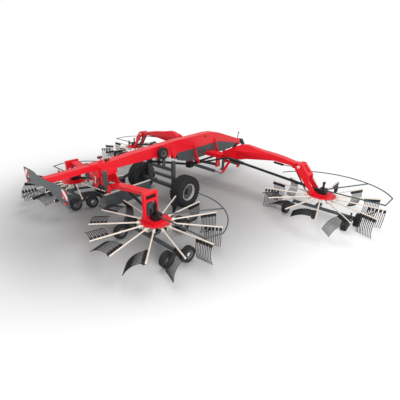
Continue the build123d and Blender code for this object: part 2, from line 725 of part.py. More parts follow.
def single(hub_x, hub_y):
    """Trailing arm and stub axle of a front rotor's inner wheel."""
    plate_x = hub_x - SINGLE_X + SMALL_W / 2 + TANDEM_GAP
    half = TANDEM_H / 2
    y_mid = hub_y + TANDEM_Y
    y_axle = hub_y + SINGLE_Y
    outline = (
        (y_axle - half, SMALL_R - half), (y_axle + half, SMALL_R - half), (y_mid + half, LATERAL_Z - half),
        (y_mid + half, LATERAL_Z + half), (y_mid - half, LATERAL_Z + half), (y_axle - half, SMALL_R + half),
    )
    arm = side_slab(outline, plate_x, plate_x + TANDEM_T)
    arm += block(plate_x, hub_x - SINGLE_X + 2 * SMALL_W, y_mid - LATERAL_W / 2, y_mid + LATERAL_W / 2,
                 LATERAL_Z - LATERAL_H / 2, LATERAL_Z + LATERAL_H / 2)
    reach = TANDEM_GAP + SMALL_W + TANDEM_GAP
    return arm + axle_stub(plate_x, plate_x - reach, y_axle, SMALL_R)


def hoop(hub_x, hub_y, arc, struts):
    """Guard tube round the outer front of a rotor, on struts from the gearbox."""
    z = ARM_PLANE_Z + HOOP_Z

    def at(radius, degrees):
        turn = math.radians(degrees)
        return Vector(hub_x + radius * math.cos(turn), hub_y + radius * math.sin(turn) + FORE, z)

    start, end = arc
    corner = Vector(hub_x + HOOP_END_X, hub_y + FORE, z)
    bend = ThreePointArc(at(HOOP_R, start), at(HOOP_R, (start + end) / 2), at(HOOP_R, end))
    lead = Line(corner + Vector(0, HOOP_TUBE_R, 0), at(HOOP_R, start))
    section = Plane(origin=at(HOOP_R, start), z_dir=bend % 0) * Circle(HOOP_TUBE_R)
    tube = sweep(section, path=bend)
    lead_plane = Plane(origin=lead @ 0, z_dir=lead % 0)
    lead_tube = lead_plane * extrude(Circle(HOOP_TUBE_R), amount=lead.length)
    knee = Pos(*at(HOOP_R, start)) * Sphere(HOOP_TUBE_R)
    tube = tube + lead_tube + knee
    root_x = GEARBOX_L / 2 + SEAT
    straight = Plane(origin=(hub_x + root_x, hub_y + FORE, z), z_dir=(1, 0, 0))
    tube += straight * extrude(Circle(STRUT_R), amount=HOOP_END_X - root_x)
    for degrees, width in struts:
        turn = math.radians(degrees)
        clear = width / 2 + SEAT + STRUT_R * abs(math.cos(turn))
        root = at(clear / math.sin(turn), degrees)
        run = at(HOOP_R, degrees) - root
        tube += Plane(origin=root, z_dir=run.normalized()) * extrude(Circle(STRUT_R), amount=run.length)
    return tube


# Rotors
def rotor_arms(hub_x, hub_y, first):
    """Bell with its sockets and arms, below the dish."""
    z0 = ARM_PLANE_Z
    inner = COLUMN_R + RUNNING
    foot = z0 - SOCKET_R
    rim = z0 + SOCKET_R
    profile = ((inner, foot), (BELL_FOOT_R, foot), (BELL_R, z0), (BELL_R, rim), (inner, rim))
    bell = Plane.XZ * face(profile)
    bell = revolve(bell, axis=Axis.Z)
    bell = Pos(hub_x, hub_y + FORE, 0) * bell
    start = BELL_R - OVERRUN / 4
    arms = []
    for index in range(ARMS):
        degrees = first + index * 360 / ARMS
        arm = Pos(start, 0, 0) * extrude(Plane.YZ * Circle(ARM_R), amount=ARM_TIP - start)
        socket = Pos(start, 0, 0) * extrude(Plane.YZ * Circle(SOCKET_R), amount=SOCKET_L)
        arms.append(Pos(hub_x, hub_y + FORE, z0) * Rot(0, 0, degrees) * (arm + socket))
    return bell.fuse(*arms)


def rotor_dish(hub_x, hub_y, first):
    """Cover over the sockets, with a lobe above each arm."""
    z0 = ARM_PLANE_Z + SOCKET_R + SEAT
    inner = COLUMN_R + RUNNING
    top = ARM_PLANE_Z + DISC_T
    profile = ((inner, z0), (DISC_R, z0), (DISC_R, z0 + DISH_T), (DISC_CROWN_R, top), (inner, top))
    dish = revolve(Plane.XZ * face(profile), axis=Axis.Z)
    lobes = []
    for index in range(ARMS):
        turn = math.radians(first + index * 360 / ARMS)
        place = Pos(LOBE_AT * math.cos(turn), LOBE_AT * math.sin(turn), z0)
        lobes.append(place * extrude(Circle(LOBE_R), amount=DISH_T))
    return Pos(hub_x, hub_y + FORE, 0) * dish.fuse(*lobes)


def comb(tilt):
    """One arm's tines and their holders, with the arm along X and hanging tines before the tilt."""
    length = HOLDER_END - HOLDER_START
    holder = Pos(HOLDER_START + length / 2, 0, -ARM_R - HOLDER_H / 2) * Box(length, HOLDER_W, HOLDER_H)
    root = -ARM_R - HOLDER_H / 2
    tip = TINE_TIP_Z - ARM_PLANE_Z
    bend = root + (tip - root) * TINE_BEND_SHARE
    tines = []
    for pair in range(TINE_PAIRS):
        middle = PAIR_FIRST + pair * PAIR_PITCH
        for side in (-1, 1):
            x = middle + side * PAIR_SPREAD / 2
            outline = (
                (-TINE_R, root), (TINE_R, root), (TINE_R - TINE_BEND / 3, bend), (TINE_R, tip), (-TINE_R, tip),
                (-TINE_R - TINE_BEND / 3, bend),
            )
            blade = Plane.YZ.offset(x - TINE_R) * extrude(face(outline), amount=2 * TINE_R)
            tines.append(blade)
    return Rot(tilt, 0, 0) * holder.fuse(*tines)


def tilt_of(degrees, tilts):
    for start, end, tilt in tilts:
        if start <= degrees % 360 < end:
            return tilt
    return 0


def tines(hub_x, hub_y, first, tilts):
    made = {}
    groups = []
    for index in range(ARMS):
        degrees = first + index * 360 / ARMS
        tilt = tilt_of(degrees, tilts)
        if tilt not in made:
            made[tilt] = comb(-tilt)
        groups.append(Pos(hub_x, hub_y + FORE, ARM_PLANE_Z) * Rot(0, 0, degrees) * made[tilt])
    return groups


# Wheels
def wheel(x, y, radius, width, rim, depth, hub, shoulder, bore):
    """Tyre and rim turned about the axle, its middle at the given place."""
    half = width / 2
    profile = (
        (-half + depth, bore), (-half + depth, rim), (-half, rim + shoulder / 2), (-half, radius - shoulder),
        (-half + shoulder, radius), (half - shoulder, radius), (half, radius - shoulder),
        (half, rim + shoulder / 2), (half - depth, rim), (half - depth, hub), (half - depth / 2, hub), (half - depth / 2, bore),
    )
    outline = make_face(Polyline(*profile, close=True))
    turned = revolve(outline, axis=Axis.X)
    return Pos(x, y + FORE, radius) * turned


def small_wheel(x, y, width=SMALL_W):
    bore = AXLE_R + RUNNING
    return wheel(x, y, SMALL_R, width, SMALL_RIM_R, SMALL_RIM_DEPTH, SMALL_HUB_R, SMALL_SHOULDER, bore)


def transport_wheel():
    bore = BIG_AXLE_R + RUNNING
    return wheel(WHEEL_X, WHEEL_Y, WHEEL_R, WHEEL_W, RIM_R, RIM_DEPTH, BIG_HUB_R, WHEEL_SHOULDER, bore)


def chassis():
    half = AXLE_BEAM / 2
    inner = WHEEL_X - WHEEL_W / 2 - TANDEM_GAP
    frame = block(-inner, inner, WHEEL_Y - half, WHEEL_Y + half, WHEEL_R - half, WHEEL_R + half)
    stub_end = WHEEL_X + WHEEL_W / 2 - RIM_DEPTH / 2
    for side in (-1, 1):
        frame += cylinder_x(side * inner, side * stub_end, WHEEL_Y, WHEEL_R, BIG_AXLE_R)
        x0, x1 = sorted((side * (POST_X - POST_W / 2), side * (POST_X + POST_W / 2)))
        frame += block(x0, x1, WHEEL_Y - POST_W / 2, WHEEL_Y + POST_W / 2, WHEEL_R, POST_TOP_Z)
        under = beam_z(BEAM_FLAT_SHARE)
        x0, x1 = sorted((side * BEAM_W / 2, side * (BEAM_W / 2 - LEG_W / 2)))
        frame += block(x0, x1, WHEEL_Y - half, WHEEL_Y + half, CROSS_TOP_Z - CROSS_H, under)
    for z in (CROSS_MID_Z, CROSS_TOP_Z):
        frame += block(-POST_X, POST_X, WHEEL_Y - CROSS_H / 2, WHEEL_Y + CROSS_H / 2, z - CROSS_H, z)
    return frame


# Front subframe with the ears that hold the front arms
def front_subframe():
    y0, y1 = YOKE_BACK, YOKE_FRONT
    under = beam_z(BEAM_FLAT_SHARE)
    frame = block(-YOKE_X + YOKE_EAR_R, YOKE_X - YOKE_EAR_R, y0, y1, YOKE_Z, YOKE_Z + YOKE_H)
    ear0 = FRONT_HUB_Y - ROOT_SLOT_W / 2 + TANDEM_GAP
    ear1 = FRONT_HUB_Y + ROOT_SLOT_W / 2 - TANDEM_GAP
    for side in (-1, 1):
        x0, x1 = sorted((side * (YOKE_X - 2 * YOKE_EAR_R), side * FRONT_PIVOT_X))
        frame += block(x0, x1, ear0, ear1, YOKE_Z, YOKE_Z + YOKE_H)
        frame += cylinder_y(side * FRONT_PIVOT_X, ear0, ear1, FRONT_PIVOT_Z, YOKE_EAR_R)
        reach = FRONT_ARM_W / 2 + COLLAR_T
        x = side * FRONT_PIVOT_X
        frame += cylinder_y(x, FRONT_HUB_Y - reach, FRONT_HUB_Y + reach, FRONT_PIVOT_Z, PIVOT_PIN_R)
        wall0, wall1 = sorted((side * (BEAM_W / 2 - LEG_W), side * BEAM_W / 2))
        frame += block(wall0, wall1, y0, y1, YOKE_Z + YOKE_H, under + OVERRUN / 4)
    x0 = RAM_X - RAM_LUG_W / 2
    x1 = RAM_X + RAM_LUG_W / 2
    back = RAM_Y - RAM_EYE_T / 2 - EAR_T
    lug = block(x0, x1, back, y0 + OVERRUN, RAM_Z - RAM_EYE_R, YOKE_Z + OVERRUN)
    gap_top = RAM_Z + 2 * RAM_R
    lug -= block(x0 - OVERRUN, x1 + OVERRUN, back + EAR_T - SEAT, back + EAR_T + RAM_EYE_T + SEAT, 0, gap_top)
    lug += cylinder_y(RAM_X, back, back + EAR_T + RAM_EYE_T + EAR_T, RAM_Z, RAM_PIN_R)
    return frame + lug + turned(lug)


def ram_axis():
    """Frame pin, lever pin, direction and length of the right-hand front lift cylinder."""
    a = Vector(RAM_X, RAM_Y, RAM_Z)
    b = Vector(FRONT_PIVOT_X - LEVER_IN, RAM_Y, FRONT_PIVOT_Z - LEVER_DROP)
    return a, b, (b - a).normalized(), (b - a).length


def ram_barrel():
    a, b, along, length = ram_axis()
    root = a + along * 2 * RAM_EYE_R
    end = a + along * length * RAM_BARREL_SHARE
    barrel = rod(tuple(root), tuple(end), RAM_R)
    barrel += bar(tuple(a), tuple(root + along * OVERRUN), RAM_EYE_T, RAM_EYE_R)
    eye0 = RAM_Y - RAM_EYE_T / 2
    eye1 = RAM_Y + RAM_EYE_T / 2
    barrel += cylinder_y(RAM_X, eye0, eye1, RAM_Z, RAM_EYE_R)
    barrel -= cylinder_y(RAM_X, eye0 - OVERRUN, eye1 + OVERRUN, RAM_Z, RAM_PIN_R + RUNNING)
    return barrel - rod(tuple(root + along * OVERRUN), tuple(b), RAM_ROD_R + RUNNING)


def ram_rod():
    """Rod whose eye lies beside the lever."""
    a, b, along, length = ram_axis()
    start = a + along * (2 * RAM_EYE_R + 3 * OVERRUN)
    stem = rod(tuple(start), tuple(b), RAM_ROD_R)
    half = RAM_ROD_R + LEVER_GAP - SEAT
    eye = cylinder_y(b.X, RAM_Y - half, RAM_Y + half, b.Z, LEVER_W / 2)
    return stem + eye


# Tail panel, plates and lamps
def tail_panel():
    right = [(a * PANEL_HALF, PANEL_Z + b * PANEL_H) for a, b in PANEL_SHARES]
    left = [(-x, z) for x, z in reversed(right[1:-1])]
    return cross_slab(right + left, (BRACKET_BACK - TAIL_L) - PANEL_T, (BRACKET_BACK - TAIL_L))


def marker_plates():
    solids = []
    face_y = (BRACKET_BACK - TAIL_L) - PANEL_T
    for side in (-1, 1):
        x0, x1 = sorted((side * (MARK_X - MARK_W / 2), side * (MARK_X + MARK_W / 2)))
        base = PANEL_Z + MARK_LIFT
        solids.append(block(x0, x1, face_y - MARK_T, face_y, base, base + MARK_H))
        for spot in (-1, 1):
            x = side * MARK_X + spot * LAMP_R * 5 / 4
            solids.append(cylinder_y(x, face_y - LAMP_T, face_y, PANEL_Z + LAMP_LIFT, LAMP_R))
    return solids


def swath_curtain():
    fore = CURTAIN_BACK + CURTAIN_L
    top = CURTAIN_TOP + CURTAIN_BAR
    thin = CURTAIN_T / 2
    half = CURTAIN_BAR / 2
    sheet = block(CURTAIN_X - thin, CURTAIN_X + thin, CURTAIN_BACK, fore, CURTAIN_BOTTOM, CURTAIN_TOP)
    rail = block(CURTAIN_X - half, CURTAIN_X + half, CURTAIN_BACK, fore, CURTAIN_TOP, top)
    hanger = block(CURTAIN_X - half, CURTAIN_X + half, fore - CURTAIN_BAR, WHEEL_Y, CURTAIN_TOP, top)
    low = WHEEL_R + AXLE_BEAM / 2
    foot = block(CURTAIN_X - half, CURTAIN_X + half, WHEEL_Y - half, WHEEL_Y + half, low, top)
    return sheet + rail + hanger + foot


def spare_wheel():
    spare = wheel(0, 0, SPARE_R, SPARE_W, SMALL_RIM_R, SMALL_RIM_DEPTH, SMALL_HUB_R, SMALL_SHOULDER, AXLE_R)
    x = SPARE_X + SPARE_W / 2
    spare = Pos(x, SPARE_Y, SPARE_Z - SPARE_R) * spare
    stub = cylinder_x(BEAM_W / 2, x + SPARE_W / 2, SPARE_Y, SPARE_Z, AXLE_R)
    return spare + stub


def headstock():
    """Yoke that turns on the beam's nose and carries the two lower-link pins."""
    z0 = HEAD_Z - HEAD_H / 2
    z1 = HEAD_Z + HEAD_H / 2
    y0 = HEAD_Y + 2 * HEAD_PIN_R + LEVER_GAP
    yoke = cylinder_z(0, HEAD_Y, z0, z1, 2 * HEAD_PIN_R)
    yoke += block(-HEAD_PIN_R, HEAD_PIN_R, HEAD_Y, y0, z0, z1)
    yoke -= cylinder_z(0, HEAD_Y, z0 - OVERRUN, z1 + OVERRUN, HEAD_PIN_R + RUNNING)
    size = (LINK_SPREAD / 2, z1 - LINK_Z + BAR_S / 2)
    outer = spread(YOKE_SHARES, (0, LINK_Z - BAR_S / 2), size)
    inner = spread(YOKE_OPENING_SHARES, (0, LINK_Z - BAR_S / 2), size)
    plate = cross_slab(outer + [(-x, z) for x, z in reversed(outer)], y0, y0 + YOKE_T)
    plate -= cross_slab(inner + [(-x, z) for x, z in reversed(inner)], y0 - OVERRUN, y0 + YOKE_T + OVERRUN)
    yoke += plate
    for side in (-1, 1):
        root = side * LINK_SPREAD / 2
        yoke += cylinder_x(root, root + side * LINK_PIN_L, y0 + YOKE_T / 2, LINK_Z, LINK_PIN_R)
    return yoke


def nose_block():
    """The beam's fork that holds the yoke's pin."""
    z0 = HEAD_Z - HEAD_H / 2
    z1 = HEAD_Z + HEAD_H / 2
    back = BEAM_BACK + BEAM_L
    half = NOSE_PLATE_W / 2
    pieces = [block(-half, half, back - NOSE_PLATE_T, back, z0 - EAR_T - SEAT, z1 + EAR_T + SEAT)]
    for low, high in ((z0 - EAR_T - SEAT, z0 - SEAT), (z1 + SEAT, z1 + SEAT + EAR_T)):
        ear = block(-2 * HEAD_PIN_R, 2 * HEAD_PIN_R, back, HEAD_Y, low, high)
        ear += cylinder_z(0, HEAD_Y, low, high, 2 * HEAD_PIN_R)
        pieces.append(ear)
    pieces.append(cylinder_z(0, HEAD_Y, z0 - EAR_T, z1 + EAR_T, HEAD_PIN_R))
    return pieces[0].fuse(*pieces[1:])


def driveline():
    """Gearboxes and shafts on the frame, with the boots of the arms' shafts on the arm pivots."""
    half = BOX_S / 2
    line = block(-half, half, MID_BOX_Y - half, MID_BOX_Y + half, MID_BOX_Z - half, MID_BOX_Z + half)
    floor = REAR_BOX_Z - half
    rear = block(-half, half, REAR_BOX_Y - half / 2, REAR_BOX_Y + half, floor, REAR_BOX_Z + half / 2)
    roof = beam_z(BEAM_UNDER_SHARES[-1][1])
    low = BEARING_Z - half / 2
    bearing = block(-half / 2, half / 2, BEARING_Y - half / 2, BEARING_Y + half / 2, low, roof)
    line = line + rear + bearing
    line += rod((0, MID_BOX_Y, MID_BOX_Z), (0, BEARING_Y, BEARING_Z), SHAFT_R)
    line += rod((0, BEARING_Y, BEARING_Z), (0, REAR_BOX_Y, REAR_BOX_Z), SHAFT_R)
    line += rod((0, MID_BOX_Y, MID_BOX_Z), (0, PTO_Y, PTO_Z), SHAFT_R)
    line += rod((0, PTO_Y, PTO_Z), (0, PTO_Y + half / 4 + PTO_L, PTO_Z), PTO_R)
    fore = PTO_Y + half / 4
    line += block(-half / 2, half / 2, PTO_Y - half / 4, fore, PTO_Z - half / 2, under_beam(fore))
    for side in (-1, 1):
        knuckle = (side * FRONT_PIVOT_X, BOOT_Y, FRONT_PIVOT_Z)
        line += rod((0, MID_BOX_Y, MID_BOX_Z), knuckle, SHAFT_R * 3 / 4)
        line += Pos(knuckle[0], knuckle[1] + FORE, knuckle[2]) * Sphere(BOOT_R)
        knuckle = (side * REAR_PIVOT_X, REAR_BOOT_Y, REAR_PIVOT_Z)
        line += rod((0, REAR_BOX_Y, REAR_BOX_Z), knuckle, SHAFT_R * 3 / 4)
        line += Pos(knuckle[0], knuckle[1] + FORE, knuckle[2]) * Sphere(REAR_BOOT_R)
    return line


def under_beam(y):
    """Height of the beam's underside on its nose, at a place forward."""
    along = (y - BEAM_BACK) / BEAM_L
    (a0, b0), (a1, b1) = BEAM_UNDER_SHARES[0], BEAM_UNDER_SHARES[1]
    return beam_z(b0 + (b1 - b0) * (along - a0) / (a1 - a0))


def arm_shaft(pivot, boot_y, boot_r, hub_x, hub_y):
    """Shaft from the boot at an arm's pivot out to the rotor's gearbox."""
    mid = ARM_PLANE_Z + DISC_T + PLATE_GAP + PLATE_T + GEARBOX_H / 2
    centre = Vector(pivot[0], boot_y, pivot[1])
    end = Vector(hub_x - GEARBOX_L / 2 + INPUT_L / 3 - INPUT_L / 2, hub_y, mid)
    along = (end - centre).normalized()
    start = centre + along * (boot_r + LEVER_GAP)
    return rod(tuple(start), tuple(end), SHAFT_R)


def parking_jack():
    """Leg beside the beam's nose, on a round foot."""
    half = JACK_S / 2
    x = -BEAM_W / 2 - JACK_BRACKET_T - half
    top = under_beam(JACK_Y) + JACK_LAP
    leg = block(x - half, x + half, JACK_Y - half, JACK_Y + half, JACK_FOOT_T, top)
    foot = cylinder_z(x, JACK_Y, 0, JACK_FOOT_T, JACK_FOOT_R)
    bracket = block(x, -BEAM_W / 2, JACK_Y - half, JACK_Y + half, top - JACK_LAP / 2, top - OVERRUN)
    return leg + foot + bracket


# Table of rotors: name, right-hand hub place, first arm's angle, tilts, hoop, struts, nose wheel and
# inner single wheel
REAR = (REAR_HUB_X, 0.0)
FRONT = (FRONT_HUB_X, FRONT_HUB_Y)
ROTORS = (
    ("rear_right", REAR, 6.3, REAR_TILTS, REAR_HOOP, REAR_STRUTS, True, False),
    ("front_right", FRONT, 6.5, FRONT_TILTS, FRONT_HOOP, FRONT_STRUTS, False, True),
    ("rear_left", REAR, 5.9, REAR_TILTS, REAR_HOOP, REAR_STRUTS, True, False),
    ("front_left", FRONT, 26.6, FRONT_TILTS, FRONT_HOOP, FRONT_STRUTS, False, True),
)


def placed(name, shape):
    return mirrored(shape) if name.endswith("left") else shape


def half_turned(name, shape):
    return turned(shape) if name.endswith("left") else shape


def main():
    os.makedirs("parts", exist_ok=True)
    save("main_beam", main_beam() + nose_block() + front_subframe())
    save("side_covers", side_covers())
    save("rear_bracket", rear_bracket())
    save("rear_lift_cylinders", *rear_lift_cylinders())
    save("chassis_frame", chassis())
    save("tail_panel", tail_panel())
    save("marker_plates", *marker_plates())
    save("swath_curtain", swath_curtain())
    save("spare_wheel", spare_wheel())
    save("headstock", headstock())
    save("driveline", driveline())
    save("parking_jack", parking_jack())
    right_arm = rear_arm()
    right_front = front_arm()
    right_fork = front_fork()
    barrel = ram_barrel()
    stem = ram_rod()
    big = transport_wheel()
    for side in ("right", "left"):
        save(f"rear_arm_{side}", placed(side, right_arm))
        save(f"front_arm_{side}", half_turned(side, right_front))
        save(f"front_fork_{side}", placed(side, right_fork))
        save(f"front_ram_barrel_{side}", half_turned(side, barrel))
        save(f"front_ram_rod_{side}", half_turned(side, stem))
        save(f"transport_wheel_{side}", placed(side, big))
    for name, (x, y), first, tilts, arc, struts, nose, one in ROTORS:
        if nose:
            shaft = arm_shaft((REAR_PIVOT_X, REAR_PIVOT_Z), REAR_BOOT_Y, REAR_BOOT_R, x, y)
        else:
            shaft = arm_shaft((FRONT_PIVOT_X, FRONT_PIVOT_Z), BOOT_Y, BOOT_R, x, y)
        save(f"rotor_gearbox_{name}", placed(name, carrier(x, y) + shaft))
        frame = [placed(name, undercarriage(x, y, nose, one)), placed(name, hoop(x, y, arc, struts))]
        save(f"rotor_frame_{name}", *frame)
        save(f"rotor_arms_{name}", placed(name, rotor_arms(x, y, first)))
        save(f"rotor_dish_{name}", placed(name, rotor_dish(x, y, first)))
        save(f"rotor_tines_{name}", *[placed(name, group) for group in tines(x, y, first, tilts)])
        y_rear = y + TANDEM_Y - TANDEM_PITCH / 2
        y_fore = y + TANDEM_Y + TANDEM_PITCH / 2
        x_rear = TANDEM_X - TANDEM_GAP - SMALL_W / 2
        x_fore = TANDEM_X + TANDEM_T + TANDEM_GAP + SMALL_W / 2
        places = {"outer_rear": (x + x_rear, y_rear), "outer_fore": (x + x_fore, y_fore)}
        if one:
            places["inner"] = (x - SINGLE_X, y + SINGLE_Y)
        else:
            places["inner_rear"] = (x - x_rear, y_rear)
            places["inner_fore"] = (x - x_fore, y_fore)
        for label, (wx, wy) in places.items():
            save(f"small_wheel_{name}_{label}", placed(name, small_wheel(wx, wy)))
        if nose:
            step = NOSE_W / 2 + NOSE_GAP + NOSE_WHEEL_W / 2
            pair = [placed(name, small_wheel(x + s * step, y + NOSE_Y, NOSE_WHEEL_W)) for s in (-1, 1)]
            save(f"small_wheel_{name}_nose", *pair)


main()
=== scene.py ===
import bpy
import json
import math
from mathutils import Matrix, Vector


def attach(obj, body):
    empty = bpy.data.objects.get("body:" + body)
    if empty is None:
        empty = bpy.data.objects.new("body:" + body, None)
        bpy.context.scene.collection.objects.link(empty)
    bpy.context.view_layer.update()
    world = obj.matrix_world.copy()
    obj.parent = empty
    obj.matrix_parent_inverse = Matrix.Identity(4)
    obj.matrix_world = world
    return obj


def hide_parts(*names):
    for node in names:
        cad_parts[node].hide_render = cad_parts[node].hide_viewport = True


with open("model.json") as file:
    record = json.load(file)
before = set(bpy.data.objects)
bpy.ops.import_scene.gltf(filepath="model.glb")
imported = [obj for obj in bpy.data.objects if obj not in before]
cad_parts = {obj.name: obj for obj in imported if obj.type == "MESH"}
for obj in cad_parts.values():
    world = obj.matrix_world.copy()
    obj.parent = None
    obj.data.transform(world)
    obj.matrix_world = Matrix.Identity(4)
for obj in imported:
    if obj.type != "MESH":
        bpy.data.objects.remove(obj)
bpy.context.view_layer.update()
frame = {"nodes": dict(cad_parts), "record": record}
nodes = frame["nodes"]

# Camera and image
CAMERA_PLACE = (6.774, -6.795, 4.047)
CAMERA_TURN = -0.759
CAMERA_DROP = -0.429
CAMERA_ROLL = -0.001
CAMERA_FAR = 500.0
IMAGE = 400
FOCAL_PX = 272.885
AXIS_PX = 179.42
SENSOR = 36.0

# Light: each lamp's name, place, the point it looks at, its size in metres and its power
LAMPS = (
    ("key", (-1.0, 2.0, 14.0), (0.0, 0.0, 0.5), 8.0, 850.0),
    ("fill", (13.0, -7.0, 6.0), (0.0, 0.0, 1.0), 6.0, 1500.0),
)
SKY_STRENGTH = 0.62
WHITE = (1.0, 1.0, 1.0, 1.0)

# Colours as they look on a screen, 0 to 255
RED = (220, 20, 36)
DARK_GREY = (66, 72, 75)
BLACK = (20, 20, 22)
PALE = (214, 203, 192)
TINE = (22, 22, 24)
RUBBER = (36, 37, 39)
RIM_EDGE = (196, 190, 182)
RIM_DISC = (84, 86, 88)
CHROME = (215, 215, 218)
CLOTH = (74, 80, 82)
BOARD_WHITE = (238, 236, 232)
LAMP_RED = (170, 12, 18)
# Floor: grey of the painted shadow round the machine, and white further out
FLOOR_SHADOW_GREY = (150, 150, 150)
FLOOR_FAR = (250, 250, 250)

# Rotors: name, hub place in metres, first arm's angle in degrees, side of the machine and end
ARMS = 13
ARM_PLANE = 0.643
REAR_HUB = (2.139, -2.775)
FRONT_HUB = (4.637, 1.844)
ROTORS = (
    ("rear_right", REAR_HUB, 6.3, 1, "rear"),
    ("front_right", FRONT_HUB, 6.5, 1, "front"),
    ("rear_left", REAR_HUB, 5.9, -1, "rear"),
    ("front_left", FRONT_HUB, 26.6, -1, "front"),
)
# Sides of the machine, with the sign of their place across
SIDES = (("right", 1), ("left", -1))
# Columns: arm angle from, arm angle to, tilt of the tines behind the arm, all in degrees
TILTS = {
    "rear": ((190.0, 300.0, 86.0), (300.0, 325.0, 62.0), (325.0, 348.0, 32.0)),
    "front": ((215.0, 300.0, 86.0), (300.0, 330.0, 50.0)),
}

# Tines on each arm, in metres from the hub and down from the arm
PAIRS = 5
PAIR_FIRST = 1.276
PAIR_PITCH = 0.090
PAIR_SPREAD = 0.044
TINE_ROOT = 0.052
TINE_TIP = 0.620
TINE_R = 0.0095
TINE_BOW = 0.050
TINE_BOW_POWER = 0.8
TINE_HOOK = 0.075
TINE_HOOK_POWER = 3
TINE_STEPS = 8
TINE_SIDES = 5
BLOCK_L = 0.060
BLOCK_W = 0.078
BLOCK_H = 0.080
BLOCK_DROP = 0.054
COIL_R = 0.020
COIL_DROP = 0.088
COIL_SHARE = 0.46
COIL_SIDES = 10

# Studs and bolts on each dish, in metres from the hub and from the arm's axis
FOOT_REACH = 0.385
FOOT_R = 0.020
FOOT_LOW = -0.095
FOOT_TOP = -0.030
STUD_STEP = 0.075
STUD_R_SHARE = 0.7
STUD_LOW = -0.055
STUD_TOP = 0.044
BOLT_REACH = 0.350
BOLT_STEP = 0.030
BOLT_FOOT = 0.046
BOLT_H = 0.010
BOLT_R = 0.011

# Small wheels, in metres
SMALL_R = 0.205
SMALL_W = 0.160
NOSE_WHEEL_W = 0.130
NOSE_STEP = 0.095
RIM_SHARE = 0.58
# Places of the small wheels from their rotor's hub, outwards and ahead
WHEEL_PLACES = {
    "outer_rear": (0.896, -0.500),
    "outer_fore": (1.099, -0.010),
    "inner_rear": (-0.896, -0.500),
    "inner_fore": (-1.099, -0.010),
    "inner": (-0.800, -0.560),
    "nose": (0.0, 0.930),
}
WHEEL_LABELS = {
    "front": ("outer_rear", "outer_fore", "inner"),
    "rear": ("outer_rear", "outer_fore", "inner_rear", "inner_fore", "nose"),
}
# Tyre wall: share of the half width, share of the wall's height above the rim
BEAD_SHARE = 0.72
BEAD_DROP = 0.004
WALL = ((0.90, 0.16), (1.0, 0.45), (0.97, 0.72), (0.86, 0.93))
# Tread: share of the half width that the ribs take, and the grooves between them
RIBS = 4
TREAD_SHARE = 0.80
GROOVE_SHARE = 0.22
GROOVE_SLOPE = 0.1
GROOVE_DEPTH = 0.010
CROWN_FALL = 0.06
# Rim: share of the half width, step in metres from the rim's radius
RIM_STEPS = ((0.70, 0.004), (0.80, 0.0), (0.80, -0.012), (0.66, -0.018), (0.50, -0.030))
# Disc and cap: share of the half width, radius in metres
DISC_END = (0.46, 0.050)
CAP_STEPS = ((0.46, 0.052), (0.70, 0.040), (0.78, 0.030), (0.78, 0.0))

# Transport wheels: profiles give the place across and the radius, in metres
AXLE_Y = -0.572
TRACK_HALF = 1.129
BIG_R = 0.537
BIG_W = 0.450
BIG_TYRE = (
    (-0.150, 0.272), (-0.198, 0.305), (-0.220, 0.360), (-0.223, 0.420), (-0.208, 0.475),
    (-0.170, 0.502), (-0.090, 0.512), (0.0, 0.515), (0.090, 0.512), (0.170, 0.502),
    (0.208, 0.475), (0.223, 0.420), (0.220, 0.360), (0.198, 0.305), (0.150, 0.272),
)
BIG_EDGE = (
    (0.150, 0.272), (0.172, 0.284), (0.178, 0.275), (0.172, 0.263), (0.130, 0.257), (0.104, 0.250),
)
BIG_DISC = ((0.104, 0.250), (0.052, 0.240), (0.046, 0.150), (0.085, 0.120), (0.085, 0.092))
BIG_HUB = ((0.085, 0.092), (0.135, 0.080), (0.150, 0.062), (0.150, 0.0))
BIG_BACK = (
    (-0.120, 0.0), (-0.110, 0.110), (-0.130, 0.240), (-0.160, 0.250),
    (-0.178, 0.270), (-0.172, 0.284), (-0.150, 0.272),
)
# Columns: inner and outer edge across half the tread, root and crown radius, phase
LUGS = (
    (0.005, 0.075, 0.500, 0.537, 0.0),
    (0.085, 0.150, 0.497, 0.533, 0.5),
    (0.158, 0.222, 0.462, 0.522, 0.0),
)
LUG_ROWS = 30
LUG_FILL = 0.62
LUG_LEAN = 0.035
LUG_TAPER = 0.86
LUG_SINK = 0.012
LUG_SHOULDER = 0.2
LUG_SHIFT = 0.25
NUTS = 8
NUT_X = 0.083
NUT_CIRCLE = 0.106
NUT_L = 0.020
NUT_R = 0.011

# Spare wheel
SPARE_X = 0.290
SPARE_Y = -0.745
SPARE_Z = 1.700
SPARE_W = 0.120
SPARE_R = 0.200
SPARE_STUD_X = (0.150, 0.235)
SPARE_STUD_R = 0.020

# Swath curtain: cloth with soft waves under its rail
CURTAIN_X = -0.300
CURTAIN_BACK = -2.736
CURTAIN_L = 1.869
CURTAIN_TOP = 0.622
CURTAIN_LOW = 0.150
CURTAIN_BAR = 0.040
CURTAIN_TUCK = 0.002
CURTAIN_WAVE = 0.012
CURTAIN_COLUMNS = 60
CURTAIN_ROWS = 10
STRAP_LOW = 0.597
# Waves along the cloth: height, number of radians along it and start
WAVES = ((1.0, 17.0, 0.0), (0.5, 31.0, 1.0))

# Faces of the CAD nodes that take a second finish
LAMP_TOP = 1.48
BELL_EDGE = 0.312
CARRIER_LOW = 0.705
CARRIER_TOP = 0.740
# Recess in the rear arms, whose inner faces are painted black as painted shade
RECESS_X = 1.999
RECESS_Z = (1.27, 1.39)
RECESS_NEAR = 0.002
EDGE_NEAR = 0.001

